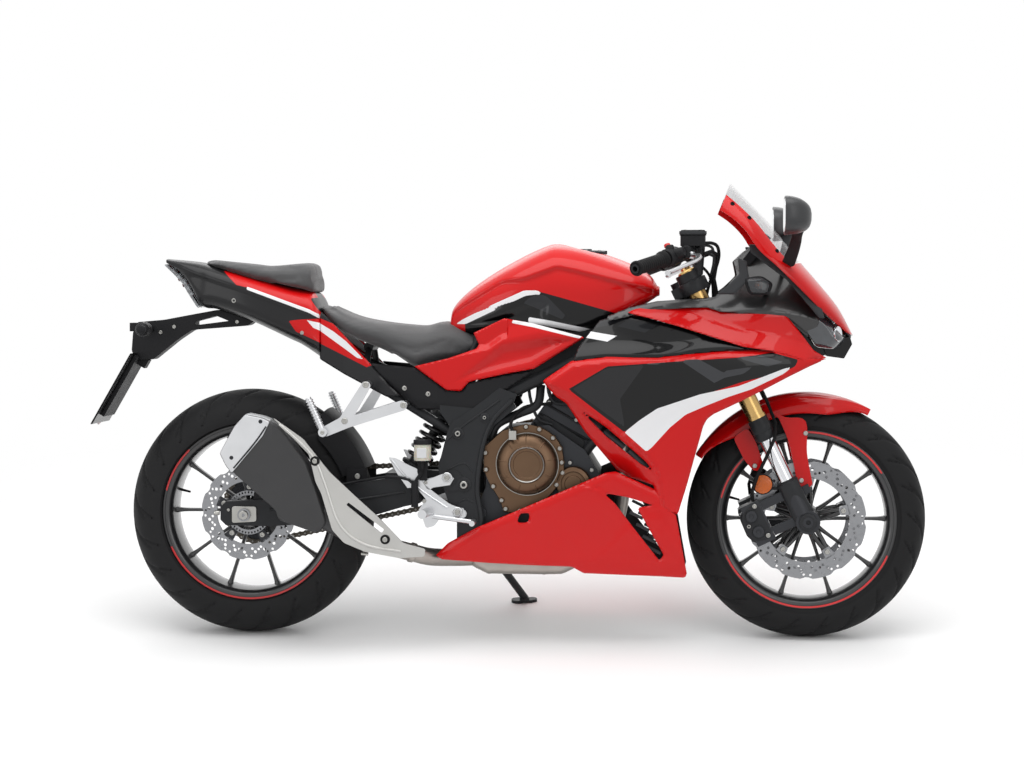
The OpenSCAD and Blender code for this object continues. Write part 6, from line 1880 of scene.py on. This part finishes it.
def add_mirrors():
    """Mirror heads, their glasses and their stems."""
    s, glass, stems = Shape(), Shape(), Shape()
    for y in (-1, 1):
        rows = []
        for x, half_y, half_z, drop in [(-22, 62, 44, 0), (-20, 64, 46, 0), (-6, 63, 45, 0), (12, 56, 41, 1),
                                        (28, 44, 33, 3), (38, 28, 22, 4), (42, 10, 8, 5)]:
            rows.append([(MIRROR_X + x, y * (MIRROR_Y + half_y * blunt(math.cos(a), 0.7)),
                          MIRROR_Z - drop + half_z * blunt(math.sin(a), 0.7) + 5 * math.cos(a))
                         for a in angles(48)])
        s.grid(curve([np.array(r).ravel() for r in rows], 4).reshape(-1, 48, 3), ring=True, caps=True)
        face = [(633.4, y * (MIRROR_Y + 56 * blunt(math.cos(a), 0.7)),
                 MIRROR_Z + 39 * blunt(math.sin(a), 0.7) + 5 * math.cos(a)) for a in angles(48)]
        back = [(p[0] + 3, p[1], p[2]) for p in face]
        glass.grid([face, back], ring=True, caps=True)
        foot_at = np.array(nose_point(4, -66 * y))
        top_at = np.array([668.0, y * 272, 1020.0])
        rows = []
        for t in np.linspace(0, 1, 9):
            p = foot_at + (top_at - foot_at) * t + np.array([6, 0, 8]) * math.sin(math.pi * t)
            wide, thick = 17 - 6 * t + 5 * max(0, t - 0.8) * 5, 8
            rows.append([p + np.array([wide * math.cos(a), y * 0.5 * thick * math.sin(a),
                                       0.86 * thick * math.sin(a)]) for a in angles(20)])
        stems.grid(rows, ring=True, caps=True)
    grey = material("mirror_grey", "#2f3032", 0.4, bump=0.12, grain=0.001, tone=0.08)
    s.piece("mirror_heads", "chassis", grey, sharp=35, replaces=["mirrors"], slot="black_plastic")
    glass.piece("mirror_glasses", "chassis", mirror_glass, sharp=30)
    stems.piece("mirror_stems", "chassis", plastic, sharp=50)


def add_instrument_face():
    """The glass over the instruments."""
    s = Shape()
    s.block((-13.4, -72, -38), (-12, 72, 38))
    tilt = math.radians(38)
    c, q = math.cos(tilt), math.sin(tilt)
    s.verts = [np.array([[578 + p[0] * c + p[2] * q, p[1], 978 - p[0] * q + p[2] * c] for p in v])
               for v in s.verts]
    s.piece("instrument_face", "chassis", glass_face, bevel=0.4)


add_cockpit_panels()
add_front_indicators()
add_headlights()
add_mirrors()
add_instrument_face()

# ---------- tail light, plate, rear signals, hugger, pillion pegs ----------


def add_tail_light():
    """A clear lens over a grid of red diodes."""
    s = Shape()
    lens = [(-919, 944), (-893, 924), (-870.5, 903), (-848, 868), (-830.4, 838), (-840, 832), (-861, 864),
            (-880, 896), (-903, 920), (-926, 942)]
    s.plate(lens, -50, 50)
    s.piece("tail_lens", "chassis", clear_lens, bevel=3, replaces=["tail_light"], slot="lamp_clear")
    s = Shape()
    for k in range(7):
        t = k / 6
        x, z = -909 + 68 * t, 935 - 89 * t - 14 * math.sin(math.pi * t) * 0.2
        for y in range(-36, 37, 12):
            s.rod((x - 5, y, z + 1), (x + 2, y, z + 4), 4.4, 3, steps=10, edge=0.4)
    s.piece("tail_light_diodes", "chassis", [red_lens])


PLATE_X, PLATE_Z, PLATE_LEAN = -1046, 640, math.radians(30)
PLATE_OUT = (-math.cos(PLATE_LEAN), 0, math.sin(PLATE_LEAN))


def add_plate():
    """The arm with a blank plate and a reflector on it."""
    s = Shape()
    arm = [(-790, 827.5), (-745, 813), (-700, 797.5), (-712, 788), (-726, 786), (-792, 781), (-858, 776),
           (-878, 763), (-900, 748), (-960, 700), (-1004, 700), (-1016, 722), (-1012, 770), (-1000, 796),
           (-930, 802), (-866, 814), (-800, 826)]
    s.plate(rounded(arm, 5), -26, 26, holes=[rounded([(-850, 798), (-796, 812), (-764, 799), (-850, 788)],
                                                     3)[::-1]])
    s.block((-1022, -20, 772), (-1004, 20, 794))
    for x, z in [(-742, 797), (-905, 784), (-940, 770)]:
        for y in (-1, 1):
            s.bolt((x, y * 26, z), (0, y, 0), 5, 3, slot=1)
    s.piece("plate_arm", "chassis", [plastic, zinc], bevel=2.4, replaces=["plate_holder"],
            slot="black_plastic")

    def on_plate(u, v, w):
        """A place u across, v up the leaning plate, w out of it to the rear."""
        c, q = math.cos(PLATE_LEAN), math.sin(PLATE_LEAN)
        return (PLATE_X + v * q - w * c, u, PLATE_Z + v * c + w * q)

    def slab(low, high, slot=0):
        corners = [on_plate(u, v, w) for w in (low[2], high[2]) for u, v in
                   [(low[0], low[1]), (high[0], low[1]), (high[0], high[1]), (low[0], high[1])]]
        s.add(corners, [(0, 1, 2, 3), (7, 6, 5, 4), (0, 4, 5, 1), (1, 5, 6, 2), (2, 6, 7, 3), (3, 7, 4, 0)],
              slot)

    s = Shape()
    slab((-92, -118, -2), (92, 86, 0.5))
    slab((-58, -92, -12), (58, 84, -2.2), 1)
    slab((-16, 62, -34), (16, 86, -12), 1)
    for u in (-1, 1):
        slab((u * 92 - 2, -118, 0.4), (u * 92 + 2, 86, 2.2))
    for v in (-118, 86):
        slab((-92, v - 2, 0.4), (92, v + 2, 2.2))
    for u in (-55, 55):
        s.bolt(on_plate(u, 62, 0.5), PLATE_OUT, 6, 3, slot=2)
    s.piece("blank_plate", "chassis", [ink, plastic, zinc], bevel=0.8)
    s = Shape()
    s.turned([(0, 4), (20, 4), (22, 2), (22, 0), (0, 0)], on_plate(0, -104, 0.5), PLATE_OUT, steps=32)
    s.piece("rear_reflector", "chassis", red_lens)


def add_rear_signals():
    s = Shape()
    bulbs = Shape()
    for y in (-1, 1):
        s.tube([(-965, y * 26, 778), (-965.6, y * 52, 778.4), (-966, y * 84, 778)], 7.5, sides=20)
        s.turned([(0, 0), (9, 1), (14, 4), (17.4, 12), (18, 22), (18, 30), (0, 30)], (-966, y * 84, 778),
                 (0, y, 0), steps=40)
        s.turned([(16.8, 0), (17, 10), (15.6, 17), (12, 22.4), (6, 25.4), (0, 26.2)], (-966, y * 113, 778),
                 (0, y, 0), slot=1, steps=40)
        s.bolt((-966, y * 100, 796), (0, 0, 1), 3, 1.4, slot=2, socket=False)
        bulbs.turned([(0, 0), (7, 0), (7, 6), (4, 9), (0, 10)], (-966, y * 116, 778), (0, y, 0), steps=20)
    s.piece("rear_indicators", "chassis", [plastic, smoke_lens, zinc], sharp=40, slot="black_plastic")
    bulbs.piece("rear_indicator_bulbs", "chassis", amber)


HUGGER_R, HUGGER_HW = 331, 88


def add_hugger():
    """The guard over the rear tyre, with its bolts."""
    s = Shape()
    rows = []
    for k in range(41):
        t = k / 40
        a = math.radians(21 + 32 * t)
        flare = 1 - 0.9 * ease(np.array(t - 0.72), 0.28) ** 2
        skirt = 58 * float(flare) + 3
        section = []
        for inner in (0, 3.2):
            line = []
            for m in range(25):
                f = m / 24 * 2 - 1
                y = HUGGER_HW * math.sin(math.pi / 2 * max(-1, min(1, f * 1.6)))
                drop = 10 * (abs(y) / HUGGER_HW) ** 3 + skirt * max(0, abs(f) - 0.62) / 0.38
                r = HUGGER_R - inner - drop
                line.append((RX + r * math.cos(a), y * (1 - inner / HUGGER_HW), RZ + r * math.sin(a)))
            section += line if inner == 0 else line[::-1]
        rows.append(section)
    s.grid(np.array(rows), ring=True, caps=True)
    for y in (-1, 1):
        near, far = sorted((y * HUGGER_HW, y * 95))
        s.block((-452, near, 384), (-400, far, 428))
        s.bolt((-424, y * 95, 408), (0, y, 0), 7, 4, slot=1)
    s.piece("chain_hugger", "chassis", [plastic, zinc], sharp=40, replaces=["rear_hugger"],
            slot="black_plastic")


def add_pillion_pegs():
    """The pillion brackets with their folded pegs."""
    s = Shape()
    bracket = rounded([(-384, 650), (-378, 640), (-420, 566), (-300, 604), (-286, 596), (-292, 580),
                       (-432, 536), (-492, 512), (-508, 520), (-504, 534), (-456, 560), (-398, 650)], 5)
    s.plate(bracket, -186, -178)
    s.rod((-391, -110, 642), (-391, -180, 642), 9, 8)
    s.rod((-297, -112, 592), (-297, -180, 592), 9, 8)
    for x, z in [(-391, 642), (-297, 592), (-444, 552)]:
        s.bolt((x, -186, z), (0, -1, 0), 8, 4, slot=1)
    # the folded peg: a clevis, a round bar and the rings round it
    a, b = np.array((-497, -192, 524)), np.array((-534, -197, 610))
    along = unit(b - a)
    s.turned([(0, -12), (11, -11), (12, -6), (12, 6), (11, 11), (0, 12)], a, (0, 1, 0), steps=32)
    s.bolt(a + np.array((0, -12, 0)), (0, -1, 0), 5, 3, slot=1)
    s.rod(a, b, 9.5, 7.5, steps=20)
    for k in range(9):
        at = a + along * (22 + 7.6 * k)
        s.rod(at, at + along * 4.2, 10.4, 10.2, steps=16, edge=0.8)
    s.mirror().piece("pillion_pegs", "chassis", [alloy, zinc], bevel=1.4, replaces=["pillion_footpegs"],
                     slot="peg_alloy")


def add_radiator_face():
    """The fins on the face of the radiator."""
    s = Shape()
    tilt = math.radians(12)

    def at(u, v, w):
        return (318 + w * math.cos(tilt) + v * math.sin(tilt), u,
                500 + v * math.cos(tilt) - w * math.sin(tilt))
    for k in range(46):
        v = -116 + 232 * k / 45
        p = [at(u, v + dv, w) for w in (14, 19.5) for u, dv in [(-128, -1), (128, -1), (128, 1), (-128, 1)]]
        s.add(p, [(3, 2, 1, 0), (4, 5, 6, 7), (1, 5, 4, 0), (2, 6, 5, 1), (3, 7, 6, 2), (0, 4, 7, 3)])
    s.piece("radiator_fins", "chassis", radiator_fins)


def add_nose_chin():
    """The dark chin below and behind the headlights."""
    s = Shape()
    s.plate([(742, 735), (752, 712), (796, 706), (816, 742), (810, 762), (790, 758), (770, 742)], -62, 62)
    s.plate([(640, 800), (690, 745), (742, 712), (770, 722), (785, 745), (770, 775), (700, 830)], -54, 54)
    s.piece("nose_chin", "chassis", ink, bevel=2)


add_tail_light()
add_plate()
add_rear_signals()
add_hugger()
add_pillion_pegs()
add_radiator_face()
add_nose_chin()

# ---------- the CAD pieces that show as they are ----------


def dress(names, look):
    for name in names:
        mesh = frame["nodes"][name].data
        mesh.materials.clear()
        mesh.materials.append(look)


dress(["frame", "swingarm", "triple_clamps", "side_stand", "fairing_stay", "radiator", "handlebars"], satin)
dress(["engine", "fork_feet", "front_calipers", "front_axle"], alloy_dark)
dress(["turn_signals", "rear_brake", "instruments"], plastic)
dress(["rear_axle"], steel)
dress(["fork_tubes"], gold)
dress(["fork_stanchions"], chrome)
dress(["front_brake_hoses"], rubber)
dress(["rider_footpegs"], alloy)
